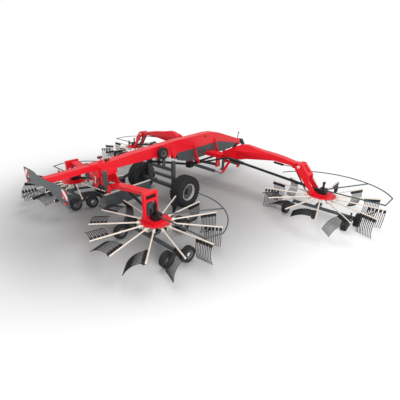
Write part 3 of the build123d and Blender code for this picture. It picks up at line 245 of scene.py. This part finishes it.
# Round fittings on both sides of the frame: place across from and to, Y, Z and radius
PLUG = (0.150, 0.158, 1.668, 1.880, 0.045)
KNOB_X = 0.190
KNOB_Y = (-2.865, -2.745)
KNOB_Z = 1.890
KNOB_R = 0.040
COVER_BOLT_X = (0.170, 0.178)
COVER_BOLT_R = 0.016
COVER_BOLTS = (
    (0.30, 1.33), (0.90, 1.34), (1.30, 1.36), (2.60, 1.36), (3.10, 1.32), (0.30, 1.20), (2.60, 1.17),
)
LEVER = ((0.060, 4.13, 1.34), (0.060, 4.20, 1.66))
LEVER_R = 0.016
GRIP = ((0.060, 4.20, 1.64), (0.060, 4.215, 1.69))
GRIP_R = 0.026

# Gearbox covers in the rear arms' portals: an upright arched housing and two canisters
COVER_X = (1.965, 2.055)
COVER_MIDDLE = -2.825
COVER_HALF = 0.122
COVER_FOOT = 0.860
COVER_SPRING = 1.060
COVER_STEPS = 12
# Columns: place across, place ahead, radius and height of the top
CANISTERS = ((2.110, -2.735, 0.032, 1.130), (2.110, -2.905, 0.024, 1.020))
CANISTER_FOOT = 0.880
CANISTER_LID = 0.030
CANISTER_LID_SHARE = 0.6

# Front arms, for the right arm: struts, push cylinder, boot on the drive shaft and pin caps
STRUT_ENDS = ((3.690, 1.425), (4.170, 0.745))
STRUT_STEP = 0.105
STRUT_R = 0.021
PUSH_BARREL = ((3.000, 1.400), (3.330, 1.372))
PUSH_ROD_END = (3.660, 1.392)
PUSH_Y = -0.060
PUSH_R = 0.034
PUSH_ROD_SHARE = 0.5
SHAFT_START = (1.330, 1.487, 1.290)
SHAFT_END = (4.497, 1.844, 0.810)
BOOT_SHARES = (0.045, 0.210)
BOOT_RADII = (0.066, 0.070, 0.052)
CAP_PLACE = (3.861, 1.448)
CAP_Y = 0.189
CAP_T = 0.014
CAP_R = 0.046

# Short cylinder with hanger and lug at each front arm's root, away from the arm's lift cylinder
STUB_ENDS = ((0.880, 2.150, 0.948), (1.480, 2.150, 0.907))
STUB_R = 0.048
STUB_LUG = ((1.390, 2.085, 0.800), (1.440, 2.215, 0.975))
STUB_HANGER = ((0.865, 2.000, 0.890), (0.895, 2.205, 1.190))

# Holes on the rear bracket, drawn as black discs of painted shade: place across, height and radius
BRACKET_HOLE_SHADES = (
    (0.210, 1.190, 0.030),
    (0.330, 1.113, 0.045),
    (0.150, 1.050, 0.024),
    (0.260, 0.990, 0.020),
    (0.120, 1.280, 0.018),
)
BRACKET_FACE_Y = -2.975
HOLE_DEPTH = 0.010
# Upright dark ribs and a pale rod between the two lift cylinders, on the bracket's back
RIB_PLACES = (-0.060, 0.235)
RIB_W = 0.034
RIB_PROUD = 0.012
RIB_Z = (0.960, 1.340)
PALE_ROD = ((-0.210, 1.420), (-0.235, 1.260), (-0.260, 1.130))
PALE_ROD_PROUD = 0.030
PALE_ROD_R = 0.018

# Floor, whose colour holds a painted grey shadow round the machine
FLOOR_SIZE = 240.0
FLOOR_Z = -0.001
# Middle of the painted shadow on the floor
FLOOR_SHADOW_MIDDLE = (-0.3, -0.9)
# Distances in metres where a change starts and ends, first from the grey of the painted shadow to
# white, then to a white glow
FLOOR_SOFT = ((2.0, 8.2), (4.2, 10.0))

# Settings of the materials
SHEEN = 0.28
COAT_ROUGHNESS = 0.15
MOTTLE_SCALE = 6.0
MOTTLE_DETAIL = 4.0
MOTTLE_STOPS = (0.3, 0.7)
GRAIN_DEPTH = 0.002
STRIPE_PITCH = 0.28
STRIPE_LEAN = 1.0
# Sockets of a mix node that are the ones for colours
MIX_FIRST = 6
MIX_SECOND = 7
MIX_RESULT = 2


# Materials
def linear(colour):
    """Screen colour to the linear value a shader takes."""
    result = []
    for part in colour:
        c = part / 255
        result.append(c / 12.92 if c <= 0.04045 else ((c + 0.055) / 1.055) ** 2.4)
    return (*result, 1.0)


def surface(name, colour, roughness, metallic=0.0, coat=0.0, mottle=0.06, grain=0.0, grain_scale=200.0):
    """A paint or rubber whose colour varies softly over the object, with a fine grain in its bump."""
    material = bpy.data.materials.new(name)
    material.use_nodes = True
    tree = material.node_tree
    shader = tree.nodes["Principled BSDF"]
    shader.inputs["Roughness"].default_value = roughness
    shader.inputs["Metallic"].default_value = metallic
    shader.inputs["Coat Weight"].default_value = coat
    shader.inputs["Coat Roughness"].default_value = COAT_ROUGHNESS
    shader.inputs["Specular IOR Level"].default_value = SHEEN
    place = tree.nodes.new("ShaderNodeTexCoord")
    noise = tree.nodes.new("ShaderNodeTexNoise")
    noise.inputs["Scale"].default_value = MOTTLE_SCALE
    noise.inputs["Detail"].default_value = MOTTLE_DETAIL
    tree.links.new(place.outputs["Object"], noise.inputs["Vector"])
    ramp = tree.nodes.new("ShaderNodeValToRGB")
    base = linear(colour)
    dark, light = ramp.color_ramp.elements
    dark.position, light.position = MOTTLE_STOPS
    dark.color = tuple(c * (1 - mottle) for c in base[:3]) + (1.0,)
    light.color = tuple(min(1.0, c * (1 + mottle)) for c in base[:3]) + (1.0,)
    tree.links.new(noise.outputs["Fac"], ramp.inputs["Fac"])
    tree.links.new(ramp.outputs["Color"], shader.inputs["Base Color"])
    if grain:
        fine = tree.nodes.new("ShaderNodeTexNoise")
        fine.inputs["Scale"].default_value = grain_scale
        tree.links.new(place.outputs["Object"], fine.inputs["Vector"])
        bump = tree.nodes.new("ShaderNodeBump")
        bump.inputs["Strength"].default_value = grain
        bump.inputs["Distance"].default_value = GRAIN_DEPTH
        tree.links.new(fine.outputs["Fac"], bump.inputs["Height"])
        tree.links.new(bump.outputs["Normal"], shader.inputs["Normal"])
    return material


def calculation(tree, operation, first, number=None):
    """Math node fed by one output, with a fixed second number."""
    node = tree.nodes.new("ShaderNodeMath")
    node.operation = operation
    tree.links.new(first, node.inputs[0])
    if number is not None:
        node.inputs[1].default_value = number
    return node


def colour_mix(tree, factor, first, second):
    mix = tree.nodes.new("ShaderNodeMix")
    mix.data_type = "RGBA"
    mix.inputs[MIX_FIRST].default_value = linear(first)
    mix.inputs[MIX_SECOND].default_value = linear(second)
    tree.links.new(factor, mix.inputs["Factor"])
    return mix.outputs[MIX_RESULT]


def striped(name, first, second):
    """Slanting stripes of two colours across a board that faces back."""
    material = surface(name, first, 0.45, mottle=0.02)
    tree = material.node_tree
    shader = tree.nodes["Principled BSDF"]
    place = tree.nodes.new("ShaderNodeTexCoord")
    split = tree.nodes.new("ShaderNodeSeparateXYZ")
    tree.links.new(place.outputs["Object"], split.inputs["Vector"])
    mirror = calculation(tree, "ABSOLUTE", split.outputs["X"])
    lean = calculation(tree, "MULTIPLY_ADD", split.outputs["Z"], STRIPE_LEAN)
    tree.links.new(mirror.outputs["Value"], lean.inputs[2])
    wave = calculation(tree, "PINGPONG", lean.outputs["Value"], STRIPE_PITCH / 2)
    step = calculation(tree, "GREATER_THAN", wave.outputs["Value"], STRIPE_PITCH / 4)
    mixed = colour_mix(tree, step.outputs["Value"], first, second)
    tree.links.new(mixed, shader.inputs["Base Color"])
    return material


materials = {
    "red_paint": surface("red_paint", RED, roughness=0.34, coat=0.12, mottle=0.04),
    "grey_paint": surface("grey_paint", DARK_GREY, roughness=0.42, coat=0.1),
    "black_paint": surface("black_paint", BLACK, roughness=0.40, coat=0.1),
    "pale_tube": surface("pale_tube", PALE, roughness=0.45, metallic=0.1),
    "tine_steel": surface("tine_steel", TINE, roughness=0.45),
    "tyre": surface("tyre", RUBBER, roughness=0.75, grain=0.35),
    "rim_edge": surface("rim_edge", RIM_EDGE, roughness=0.40, metallic=0.1),
    "rim_disc": surface("rim_disc", RIM_DISC, roughness=0.45, metallic=0.1),
    "curtain": surface("curtain", CLOTH, roughness=0.80, grain=0.5, grain_scale=400.0),
    "rod_chrome": surface("rod_chrome", CHROME, roughness=0.15, metallic=1.0, mottle=0.02),
    "marker_board": striped("marker_board", BOARD_WHITE, RED),
    "lamp_red": surface("lamp_red", LAMP_RED, roughness=0.15, coat=0.6, mottle=0.02),
}
slots = {entry["node"]: entry["material_slot"] for entry in frame["record"]["subparts"]}


def dress(node):
    mesh = nodes[node].data
    mesh.materials.clear()
    mesh.materials.append(materials[slots[node]])


def second_finish(node, look, chosen):
    """Give the faces of a CAD node that the test chooses a second material."""
    mesh = nodes[node].data
    mesh.materials.append(materials[look])
    for face in mesh.polygons:
        face.material_index = 1 if chosen(face.center) else 0


# Shapes that are built point by point
BOX_FACES = ((0, 1, 3, 2), (4, 6, 7, 5), (0, 4, 5, 1), (2, 3, 7, 6), (0, 2, 6, 4), (1, 5, 7, 3))
STEEP = 0.9


class Shape:
    """Points and faces of one new piece, with the name of a material for each face."""

    def __init__(self):
        self.points = []
        self.faces = []
        self.looks = []

    def add(self, points, faces, look, place=None):
        base = len(self.points)
        for point in points:
            point = Vector(point)
            self.points.append(place @ point if place else point)
        for face in faces:
            self.faces.append([base + index for index in face])
            self.looks.append(look)

    def box(self, low, high, look, place=None):
        x0, y0, z0 = low
        x1, y1, z1 = high
        corners = [(x, y, z) for x in (x0, x1) for y in (y0, y1) for z in (z0, z1)]
        self.add(corners, BOX_FACES, look, place)

    def tube(self, path, radius, sides, look, place=None):
        """Round tube along points, with closed ends and one radius or one for each point."""
        rings = []
        path = [Vector(point) for point in path]
        points = []
        for index, centre in enumerate(path):
            before = path[max(index - 1, 0)]
            after = path[min(index + 1, len(path) - 1)]
            along = (after - before).normalized()
            guide = Vector((0, 0, 1)) if abs(along.z) < STEEP else Vector((1, 0, 0))
            side = along.cross(guide).normalized()
            up = side.cross(along)
            reach = radius[index] if isinstance(radius, tuple) else radius
            for step in range(sides):
                turn = 2 * math.pi * step / sides
                points.append(centre + side * reach * math.cos(turn) + up * reach * math.sin(turn))
            rings.append(index * sides)
        faces = []
        for start, after in zip(rings, rings[1:]):
            for step in range(sides):
                other = (step + 1) % sides
                faces.append((start + step, start + other, after + other, after + step))
        faces.append(tuple(range(sides))[::-1])
        faces.append(tuple(rings[-1] + step for step in range(sides)))
        self.add(points, faces, look, place)

    def lathe(self, profile, segments, look, place=None, closed=True):
        """Profile of (axial, radius) points turned about the X axis."""
        count = len(profile)
        points = []
        for step in range(segments):
            turn = 2 * math.pi * step / segments
            for axial, radius in profile:
                points.append((axial, radius * math.cos(turn), radius * math.sin(turn)))
        faces = []
        spans = count if closed else count - 1
        for step in range(segments):
            here = step * count
            other = (step + 1) % segments * count
            for index in range(spans):
                after = (index + 1) % count
                faces.append((here + index, here + after, other + after, other + index))
        self.add(points, faces, look, place)

    def join(self, other):
        base = len(self.points)
        self.points += other.points
        self.faces += [[base + index for index in face] for face in other.faces]
        self.looks += other.looks

    def piece(self, name, body, slot, smooth=False, mirror=False):
        """Make the object and ride it on its body; the slot is not used."""
        points = [Vector((-p.x, p.y, p.z)) for p in self.points] if mirror else self.points
        faces = [face[::-1] for face in self.faces] if mirror else self.faces
        mesh = bpy.data.meshes.new(name)
        mesh.from_pydata([tuple(p) for p in points], [], faces)
        looks = list(dict.fromkeys(self.looks))
        for look in looks:
            mesh.materials.append(materials[look])
        for face, look in zip(mesh.polygons, self.looks):
            face.material_index = looks.index(look)
            face.use_smooth = smooth
        mesh.update()
        made = bpy.data.objects.new(name, mesh)
        bpy.context.scene.collection.objects.link(made)
        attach(made, body)
        return made


# Rotors: tines, blocks and sockets
def tilt_of(degrees, tilts):
    for start, end, tilt in tilts:
        if start <= degrees % 360 < end:
            return tilt
    return 0.0


def arm_place(hub, degrees, tilt=0.0):
    move = Matrix.Translation((hub[0], hub[1], ARM_PLANE))
    turn = Matrix.Rotation(math.radians(degrees), 4, "Z")
    lean = Matrix.Rotation(math.radians(-tilt), 4, "X")
    return move @ turn @ lean


def rotor_arm_angles(first):
    return [first + index * 360 / ARMS for index in range(ARMS)]


def tine_path(x):
    """Tine that bows back and ends in a hook forward."""
    path = []
    for index in range(TINE_STEPS + 1):
        share = index / TINE_STEPS
        drop = TINE_ROOT + share * (TINE_TIP - TINE_ROOT)
        bow = TINE_BOW * math.sin(math.pi * share ** TINE_BOW_POWER)
        path.append((x, TINE_HOOK * share ** TINE_HOOK_POWER - bow, -drop))
    return path


def tine_set(name, hub, first, side, end):
    """Blocks, coils and bowed tines of one rotor."""
    wires = Shape()
    blocks = Shape()
    for degrees in rotor_arm_angles(first):
        place = arm_place(hub, degrees, tilt_of(degrees, TILTS[end]))
        for pair in range(PAIRS):
            middle = PAIR_FIRST + pair * PAIR_PITCH
            low = (middle - BLOCK_L / 2, -BLOCK_W / 2, -BLOCK_DROP - BLOCK_H / 2)
            high = (middle + BLOCK_L / 2, BLOCK_W / 2, -BLOCK_DROP + BLOCK_H / 2)
            blocks.box(low, high, "black_paint", place)
            coil = BLOCK_L * COIL_SHARE
            spool = [(middle - coil, 0, -COIL_DROP), (middle + coil, 0, -COIL_DROP)]
            wires.tube(spool, COIL_R, COIL_SIDES, "tine_steel", place)
            for way in (-1, 1):
                path = tine_path(middle + way * PAIR_SPREAD / 2)
                wires.tube(path, TINE_R, TINE_SIDES, "tine_steel", place)
    body = f"rotor_{name}"
    mirror = side < 0
    made = wires.piece(f"tine_wires_{name}", body, "tine_steel", smooth=True, mirror=mirror)
    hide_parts(f"rotor_tines_{name}")
    blocks.piece(f"tine_blocks_{name}", body, "tine_steel", mirror=mirror)


def rotor_trim(name, hub, first, side):
    """Short upright studs under the sockets and bolts on the dish's lobes."""
    trim = Shape()
    for degrees in rotor_arm_angles(first):
        place = arm_place(hub, degrees)
        foot = [(FOOT_REACH, 0, FOOT_LOW), (FOOT_REACH, 0, FOOT_TOP)]
        trim.tube(foot, FOOT_R, 10, "pale_tube", place)
        reach = FOOT_REACH + STUD_STEP
        stud = [(reach, 0, STUD_LOW), (reach, 0, STUD_TOP)]
        trim.tube(stud, FOOT_R * STUD_R_SHARE, 8, "pale_tube", place)
        for across in (-BOLT_STEP, BOLT_STEP):
            bolt = [(BOLT_REACH, across, BOLT_FOOT), (BOLT_REACH, across, BOLT_FOOT + BOLT_H)]
            trim.tube(bolt, BOLT_R, 6, "rim_disc", place)
    trim.piece(f"rotor_studs_{name}", f"rotor_{name}", "pale_tube", mirror=side < 0)


# Wheels
def tyre_ring(shape, radius, width, rim, place):
    """Tyre with a rounded shoulder and grooves round its tread."""
    half = width / 2
    wall = radius - rim
    left = [(-half * BEAD_SHARE, rim - BEAD_DROP)]
    left += [(-half * across, rim + wall * up) for across, up in WALL]
    tread = []
    for index in range(RIBS):
        a = -TREAD_SHARE + 2 * TREAD_SHARE * index / RIBS
        b = -TREAD_SHARE + 2 * TREAD_SHARE * (index + 1) / RIBS
        gap = GROOVE_SHARE * (b - a)
        crown = radius - CROWN_FALL * wall * abs(a + b) / 2
        tread += [(half * (a + gap / 2), crown), (half * (b - gap / 2), crown)]
        if index < RIBS - 1:
            slope = gap * GROOVE_SLOPE
            floor_r = crown - GROOVE_DEPTH
            tread.append((half * (b - gap / 2 + slope), floor_r))
            tread.append((half * (b + gap / 2 - slope), floor_r))
    right = [(-x, r) for x, r in reversed(left)]
    shape.lathe(left + tread + right, 48, "tyre", place)


def small_wheel_shape(centre, width, radius=SMALL_R, cap_look="rim_edge"):
    """Small running wheel: ribbed tyre, pressed rim and hub cap."""
    shape = Shape()
    place = Matrix.Translation(centre)
    rim = radius * RIM_SHARE
    tyre_ring(shape, radius, width, rim, place)
    half = width / 2
    for side in (-1, 1):
        ring = [(side * half * across, rim + step) for across, step in RIM_STEPS]
        ring.append((side * half * DISC_END[0], DISC_END[1]))
        cap = [(side * half * across, reach) for across, reach in CAP_STEPS]
        if side < 0:
            ring.reverse()
            cap.reverse()
        shape.lathe(ring, 32, "rim_disc", place, closed=False)
        shape.lathe(cap, 24, cap_look, place, closed=False)
    return shape


def small_wheels(name, hub, side, end):
    for label in WHEEL_LABELS[end]:
        dx, dy = WHEEL_PLACES[label]
        centre = Vector((hub[0] + dx, hub[1] + dy, SMALL_R))
        node = f"small_wheel_{name}_{label}"
        if label == "nose":
            step = Vector((NOSE_STEP, 0, 0))
            shape = small_wheel_shape(centre - step, NOSE_WHEEL_W)
            shape.join(small_wheel_shape(centre + step, NOSE_WHEEL_W))
        else:
            shape = small_wheel_shape(centre, SMALL_W)
        made = shape.piece(f"running_{name}_{label}", node, "tyre", smooth=True, mirror=side < 0)
        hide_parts(node)


def tread_lug(shape, lug, row, way, place):
    """One tread block, leaning and narrower at its crown."""
    inner, outer, root, crown, phase = lug
    turn = 2 * math.pi * (row + phase + (LUG_SHIFT if way > 0 else 0.0)) / LUG_ROWS
    width = 2 * math.pi / LUG_ROWS * LUG_FILL
    points = []
    for x in (inner, outer):
        lean = LUG_LEAN * (x / (BIG_W / 2))
        sink = LUG_SINK if x == outer and outer > LUG_SHOULDER else 0.0
        for radius in (root - sink, crown - sink * 2):
            narrow = LUG_TAPER if radius == crown else 1.0
            for edge in (-0.5, 0.5):
                a = turn + edge * width * narrow + lean
                points.append((way * x, radius * math.cos(a), radius * math.sin(a)))
    faces = [face[::-1] for face in BOX_FACES] if way > 0 else BOX_FACES
    shape.add(points, faces, "tyre", place)


def transport_wheel(side, word):
    """Broad tyre with blocks, pale rim edge, dark disc and hub."""
    shape = Shape()
    centre = Vector((TRACK_HALF, AXLE_Y, BIG_R))
    place = Matrix.Translation(centre)
    shape.lathe(BIG_TYRE, 64, "tyre", place)
    for lug in LUGS:
        for way in (-1, 1):
            for row in range(LUG_ROWS):
                tread_lug(shape, lug, row, way, place)
    shape.lathe(BIG_EDGE, 48, "rim_edge", place, closed=False)
    shape.lathe(BIG_DISC, 48, "rim_disc", place, closed=False)
    shape.lathe(BIG_HUB, 32, "black_paint", place, closed=False)
    shape.lathe(BIG_BACK, 48, "black_paint", place, closed=False)
    for index in range(NUTS):
        turn = 2 * math.pi * index / NUTS
        at = centre + Vector((NUT_X, NUT_CIRCLE * math.cos(turn), NUT_CIRCLE * math.sin(turn)))
        shape.tube([at, at + Vector((NUT_L, 0, 0))], NUT_R, 6, "black_paint")
    node = f"transport_wheel_{word}"
    made = shape.piece(f"road_{word}", node, "tyre", mirror=side < 0)
    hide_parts(node)


def spare_wheel():
    centre = Vector((SPARE_X, SPARE_Y, SPARE_Z))
    shape = small_wheel_shape(centre, SPARE_W, SPARE_R, cap_look="black_paint")
    stud = [(x, SPARE_Y, SPARE_Z) for x in SPARE_STUD_X]
    shape.tube(stud, SPARE_STUD_R, 12, "black_paint")
    made = shape.piece("spare_running", "frame", "tyre", smooth=True)
    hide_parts("spare_wheel")


# Swath curtain
def swath_curtain():
    rail = Shape()
    half = CURTAIN_BAR / 2
    left = CURTAIN_X - half
    right = CURTAIN_X + half
    top = CURTAIN_TOP + CURTAIN_BAR
    hang_y = CURTAIN_BACK + CURTAIN_L
    strap_y = AXLE_Y + half
    rail.box((left, CURTAIN_BACK, CURTAIN_TOP), (right, hang_y, top), "pale_tube")
    rail.box((left, hang_y, CURTAIN_TOP), (right, strap_y, top), "grey_paint")
    rail.box((left, AXLE_Y - half, STRAP_LOW), (right, strap_y, CURTAIN_TOP), "grey_paint")
    made = rail.piece("curtain_rail", "frame", "pale_tube")
    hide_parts("swath_curtain")
    cloth = Shape()
    points = []
    for row in range(CURTAIN_ROWS + 1):
        down = row / CURTAIN_ROWS
        for column in range(CURTAIN_COLUMNS + 1):
            along = column / CURTAIN_COLUMNS
            height = sum(share * math.sin(along * turns + start) for share, turns, start in WAVES)
            y = CURTAIN_BACK + along * CURTAIN_L
            z = CURTAIN_TOP + CURTAIN_TUCK - down * (CURTAIN_TOP - CURTAIN_LOW)
            points.append((CURTAIN_X + CURTAIN_WAVE * down * height, y, z))
    faces = []
    for row in range(CURTAIN_ROWS):
        for column in range(CURTAIN_COLUMNS):
            a = row * (CURTAIN_COLUMNS + 1) + column
            b = a + CURTAIN_COLUMNS + 1
            faces.append((a, a + 1, b + 1, b))
    cloth.add(points, faces, "curtain")
    sheet = cloth.piece("curtain_cloth", "frame", "curtain", smooth=True)
    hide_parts("swath_curtain")


# Small trim on the frame
def frame_trim():
    """Knobs on the bracket's ears, the beam's plugs, the hitch lever and bolts on the covers."""
    trim = Shape()
    near, far, plug_y, plug_z, plug_r = PLUG
    inner, outer = COVER_BOLT_X
    for side in (-1, 1):
        trim.tube([(side * KNOB_X, y, KNOB_Z) for y in KNOB_Y], KNOB_R, 16, "black_paint")
        plug = [(side * near, plug_y, plug_z), (side * far, plug_y, plug_z)]
        trim.tube(plug, plug_r, 16, "black_paint")
        for y, z in COVER_BOLTS:
            trim.tube([(side * inner, y, z), (side * outer, y, z)], COVER_BOLT_R, 8, "black_paint")
    trim.tube(LEVER, LEVER_R, 8, "black_paint")
    trim.tube(GRIP, GRIP_R, 8, "black_paint")
    trim.piece("frame_knobs", "frame", "black_paint")


def portal_trim(word, side):
    """Gearbox cover with an arched outline, and the canisters beside it."""
    trim = Shape()
    outline = [(COVER_MIDDLE - COVER_HALF, COVER_FOOT)]
    for step in range(COVER_STEPS + 1):
        turn = math.pi * (1 - step / COVER_STEPS)
        y = COVER_MIDDLE + COVER_HALF * math.cos(turn)
        outline.append((y, COVER_SPRING + COVER_HALF * math.sin(turn)))
    outline.append((COVER_MIDDLE + COVER_HALF, COVER_FOOT))
    count = len(outline)
    points = [(x, y, z) for x in COVER_X for y, z in outline]
    faces = [tuple(range(count)), tuple(reversed(range(count, 2 * count)))]
    for index in range(count):
        after = (index + 1) % count
        faces.append((index, index + count, after + count, after))
    trim.add(points, faces, "grey_paint")
    for x, y, radius, top in CANISTERS:
        trim.tube([(x, y, CANISTER_FOOT), (x, y, top)], radius, 16, "black_paint")
        lid = [(x, y, top), (x, y, top + CANISTER_LID)]
        trim.tube(lid, radius * CANISTER_LID_SHARE, 12, "black_paint")
    trim.piece(f"gear_cover_{word}", f"rear_arm_{word}", "black_paint", mirror=side < 0)


def half_turn():
    """Turn about the upright line through the middle between the front hubs."""
    middle = FRONT_HUB[1]
    forth = Matrix.Translation((0.0, middle, 0.0))
    back = Matrix.Translation((0.0, -middle, 0.0))
    return forth @ Matrix.Rotation(math.pi, 4, "Z") @ back


def front_arm_trim(word):
    """Fittings of the right front arm, turned half round for the left one."""
    trim = Shape()
    middle = FRONT_HUB[1]
    place = half_turn() if word == "left" else None
    (x0, z0), (x1, z1) = STRUT_ENDS
    for step in (-STRUT_STEP, STRUT_STEP):
        strut = [(x0, middle + step, z0), (x1, middle + step, z1)]
        trim.tube(strut, STRUT_R, 10, "grey_paint", place)
    y = middle + PUSH_Y
    push_from, push_to, rod_to = [(x, y, z) for x, z in (*PUSH_BARREL, PUSH_ROD_END)]
    trim.tube([push_from, push_to], PUSH_R, 16, "black_paint", place)
    trim.tube([push_to, rod_to], PUSH_R * PUSH_ROD_SHARE, 12, "rod_chrome", place)
    start = Vector(SHAFT_START)
    end = Vector(SHAFT_END)
    low, high = BOOT_SHARES
    boot = [start.lerp(end, share) for share in (low, (low + high) / 2, high)]
    trim.tube(boot, BOOT_RADII, 16, "black_paint", place)
    cap_x, cap_z = CAP_PLACE
    for way in (-1, 1):
        face_y = middle + way * CAP_Y
        cap = [(cap_x, face_y, cap_z), (cap_x, face_y + way * CAP_T, cap_z)]
        trim.tube(cap, CAP_R, 20, "pale_tube", place)
    trim.piece(f"arm_struts_{word}", f"front_arm_{word}", "grey_paint")


def front_stubs(word):
    trim = Shape()
    place = half_turn() if word == "left" else None
    trim.tube(STUB_ENDS, STUB_R, 20, "grey_paint", place)
    trim.box(*STUB_LUG, "red_paint", place)
    trim.box(*STUB_HANGER, "red_paint", place)
    trim.piece(f"root_cylinder_{word}", "frame", "grey_paint")


def bracket_trim():
    """Black discs as painted shade in the holes, the ribs and the pale rod on the rear bracket's back.
    """
    trim = Shape()
    deep = BRACKET_FACE_Y + HOLE_DEPTH
    for x, z, radius in BRACKET_HOLE_SHADES:
        # each hole is a black disc of painted shade
        for side in (-1, 1):
            hole_shade = [(side * x, BRACKET_FACE_Y, z), (side * x, deep, z)]
            trim.tube(hole_shade, radius, 16, "black_paint")
    low, high = RIB_Z
    for x in RIB_PLACES:
        back_corner = (x - RIB_W / 2, BRACKET_FACE_Y - RIB_PROUD, low)
        trim.box(back_corner, (x + RIB_W / 2, deep, high), "black_paint")
    rod = [(x, BRACKET_FACE_Y - PALE_ROD_PROUD, z) for x, z in PALE_ROD]
    trim.tube(rod, PALE_ROD_R, 12, "pale_tube")
    trim.piece("bracket_hole_shades", "frame", "black_paint")


# Floor, light and camera
def floor():
    """Pale ground with a painted grey shadow round the machine, which turns white away from it."""
    bpy.ops.mesh.primitive_plane_add(size=FLOOR_SIZE, location=(0.0, 0.0, FLOOR_Z))
    plane = bpy.context.object
    plane.name = "floor"
    material = bpy.data.materials.new("floor")
    material.use_nodes = True
    tree = material.node_tree
    shader = tree.nodes["Principled BSDF"]
    shader.inputs["Roughness"].default_value = 0.8
    shader.inputs["Specular IOR Level"].default_value = 0.1
    place = tree.nodes.new("ShaderNodeTexCoord")
    reach = tree.nodes.new("ShaderNodeVectorMath")
    reach.operation = "DISTANCE"
    reach.inputs[1].default_value = (*FLOOR_SHADOW_MIDDLE, 0.0)
    tree.links.new(place.outputs["Object"], reach.inputs[0])
    spreads = []
    for start, end in FLOOR_SOFT:
        spread = tree.nodes.new("ShaderNodeMapRange")
        spread.interpolation_type = "SMOOTHSTEP"
        spread.inputs["From Min"].default_value = start
        spread.inputs["From Max"].default_value = end
        tree.links.new(reach.outputs["Value"], spread.inputs["Value"])
        spreads.append(spread.outputs["Result"])
    to_white, to_glow = spreads
    # the grey near the middle is a painted shadow under the machine, fading to white
    mixed = colour_mix(tree, to_white, FLOOR_SHADOW_GREY, FLOOR_FAR)
    tree.links.new(mixed, shader.inputs["Base Color"])
    white = tree.nodes.new("ShaderNodeEmission")
    white.inputs["Color"].default_value = WHITE
    blend = tree.nodes.new("ShaderNodeMixShader")
    tree.links.new(to_glow, blend.inputs["Fac"])
    tree.links.new(shader.outputs["BSDF"], blend.inputs[1])
    tree.links.new(white.outputs["Emission"], blend.inputs[2])
    tree.links.new(blend.outputs["Shader"], tree.nodes["Material Output"].inputs["Surface"])
    plane.data.materials.append(material)


def world_light():
    """White studio: the sky lights softly and shows as white."""
    world = bpy.data.worlds.new("studio")
    bpy.context.scene.world = world
    world.use_nodes = True
    tree = world.node_tree
    back = tree.nodes["Background"]
    back.inputs["Color"].default_value = WHITE
    back.inputs["Strength"].default_value = SKY_STRENGTH
    seen = tree.nodes.new("ShaderNodeBackground")
    seen.inputs["Color"].default_value = WHITE
    seen.inputs["Strength"].default_value = 1.0
    path = tree.nodes.new("ShaderNodeLightPath")
    mix = tree.nodes.new("ShaderNodeMixShader")
    tree.links.new(path.outputs["Is Camera Ray"], mix.inputs["Fac"])
    tree.links.new(back.outputs["Background"], mix.inputs[1])
    tree.links.new(seen.outputs["Background"], mix.inputs[2])
    tree.links.new(mix.outputs["Shader"], tree.nodes["World Output"].inputs["Surface"])


def lamp(name, place, target, size, power):
    data = bpy.data.lights.new(name, "AREA")
    data.energy = power
    data.size = size
    lamp_object = bpy.data.objects.new(name, data)
    bpy.context.scene.collection.objects.link(lamp_object)
    lamp_object.location = place
    aim = Vector(target) - Vector(place)
    lamp_object.rotation_euler = aim.to_track_quat("-Z", "Y").to_euler()


def camera():
    data = bpy.data.cameras.new("camera")
    data.sensor_width = SENSOR
    data.sensor_fit = "HORIZONTAL"
    data.lens = FOCAL_PX * SENSOR / IMAGE
    data.shift_x = (IMAGE / 2 - AXIS_PX) / IMAGE
    data.clip_end = CAMERA_FAR
    eye = bpy.data.objects.new("camera", data)
    bpy.context.scene.collection.objects.link(eye)
    forward = Vector((
        math.cos(CAMERA_DROP) * math.sin(CAMERA_TURN),
        math.cos(CAMERA_DROP) * math.cos(CAMERA_TURN),
        math.sin(CAMERA_DROP),
    ))
    turn = forward.to_track_quat("-Z", "Y").to_matrix().to_4x4()
    roll = Matrix.Rotation(CAMERA_ROLL, 4, "Z")
    eye.matrix_world = Matrix.Translation(CAMERA_PLACE) @ turn @ roll
    bpy.context.scene.camera = eye


# Finish of the CAD nodes
# Faces inside the rear arm's recess, which take black paint as painted shade
def in_shaded_recess(point):
    low, high = RECESS_Z
    return abs(abs(point.x) - RECESS_X) < RECESS_NEAR and low < point.z < high


def on_lamp(point):
    return point.z < LAMP_TOP


def on_carrier(point):
    return CARRIER_LOW < point.z < CARRIER_TOP + EDGE_NEAR


def bell_test(hub, side):
    """Test for the faces of a rotor's bell, inside the roots of its arms."""
    def on_bell(point):
        return math.hypot(point.x - side * hub[0], point.y - hub[1]) < BELL_EDGE
    return on_bell


for node in nodes:
    dress(node)
for word, side in SIDES:
    nodes[f"front_ram_barrel_{word}"].data.materials[0] = materials["grey_paint"]
    # the black paint in the rear arm's recess is painted shade
    second_finish(f"rear_arm_{word}", "black_paint", in_shaded_recess)
second_finish("marker_plates", "lamp_red", on_lamp)

# Rotors and wheels
for name, hub, first, side, end in ROTORS:
    second_finish(f"rotor_arms_{name}", "rim_disc", bell_test(hub, side))
    second_finish(f"rotor_gearbox_{name}", "red_paint", on_carrier)
    tine_set(name, hub, first, side, end)
    rotor_trim(name, hub, first, side)
    small_wheels(name, hub, side, end)
for word, side in SIDES:
    transport_wheel(side, word)
spare_wheel()
swath_curtain()

# Trim
frame_trim()
for word, side in SIDES:
    portal_trim(word, side)
    front_arm_trim(word)
    front_stubs(word)
bracket_trim()

# Surroundings
floor()
world_light()
for entry in LAMPS:
    lamp(*entry)
camera()
bpy.context.scene.view_settings.view_transform = "Standard"
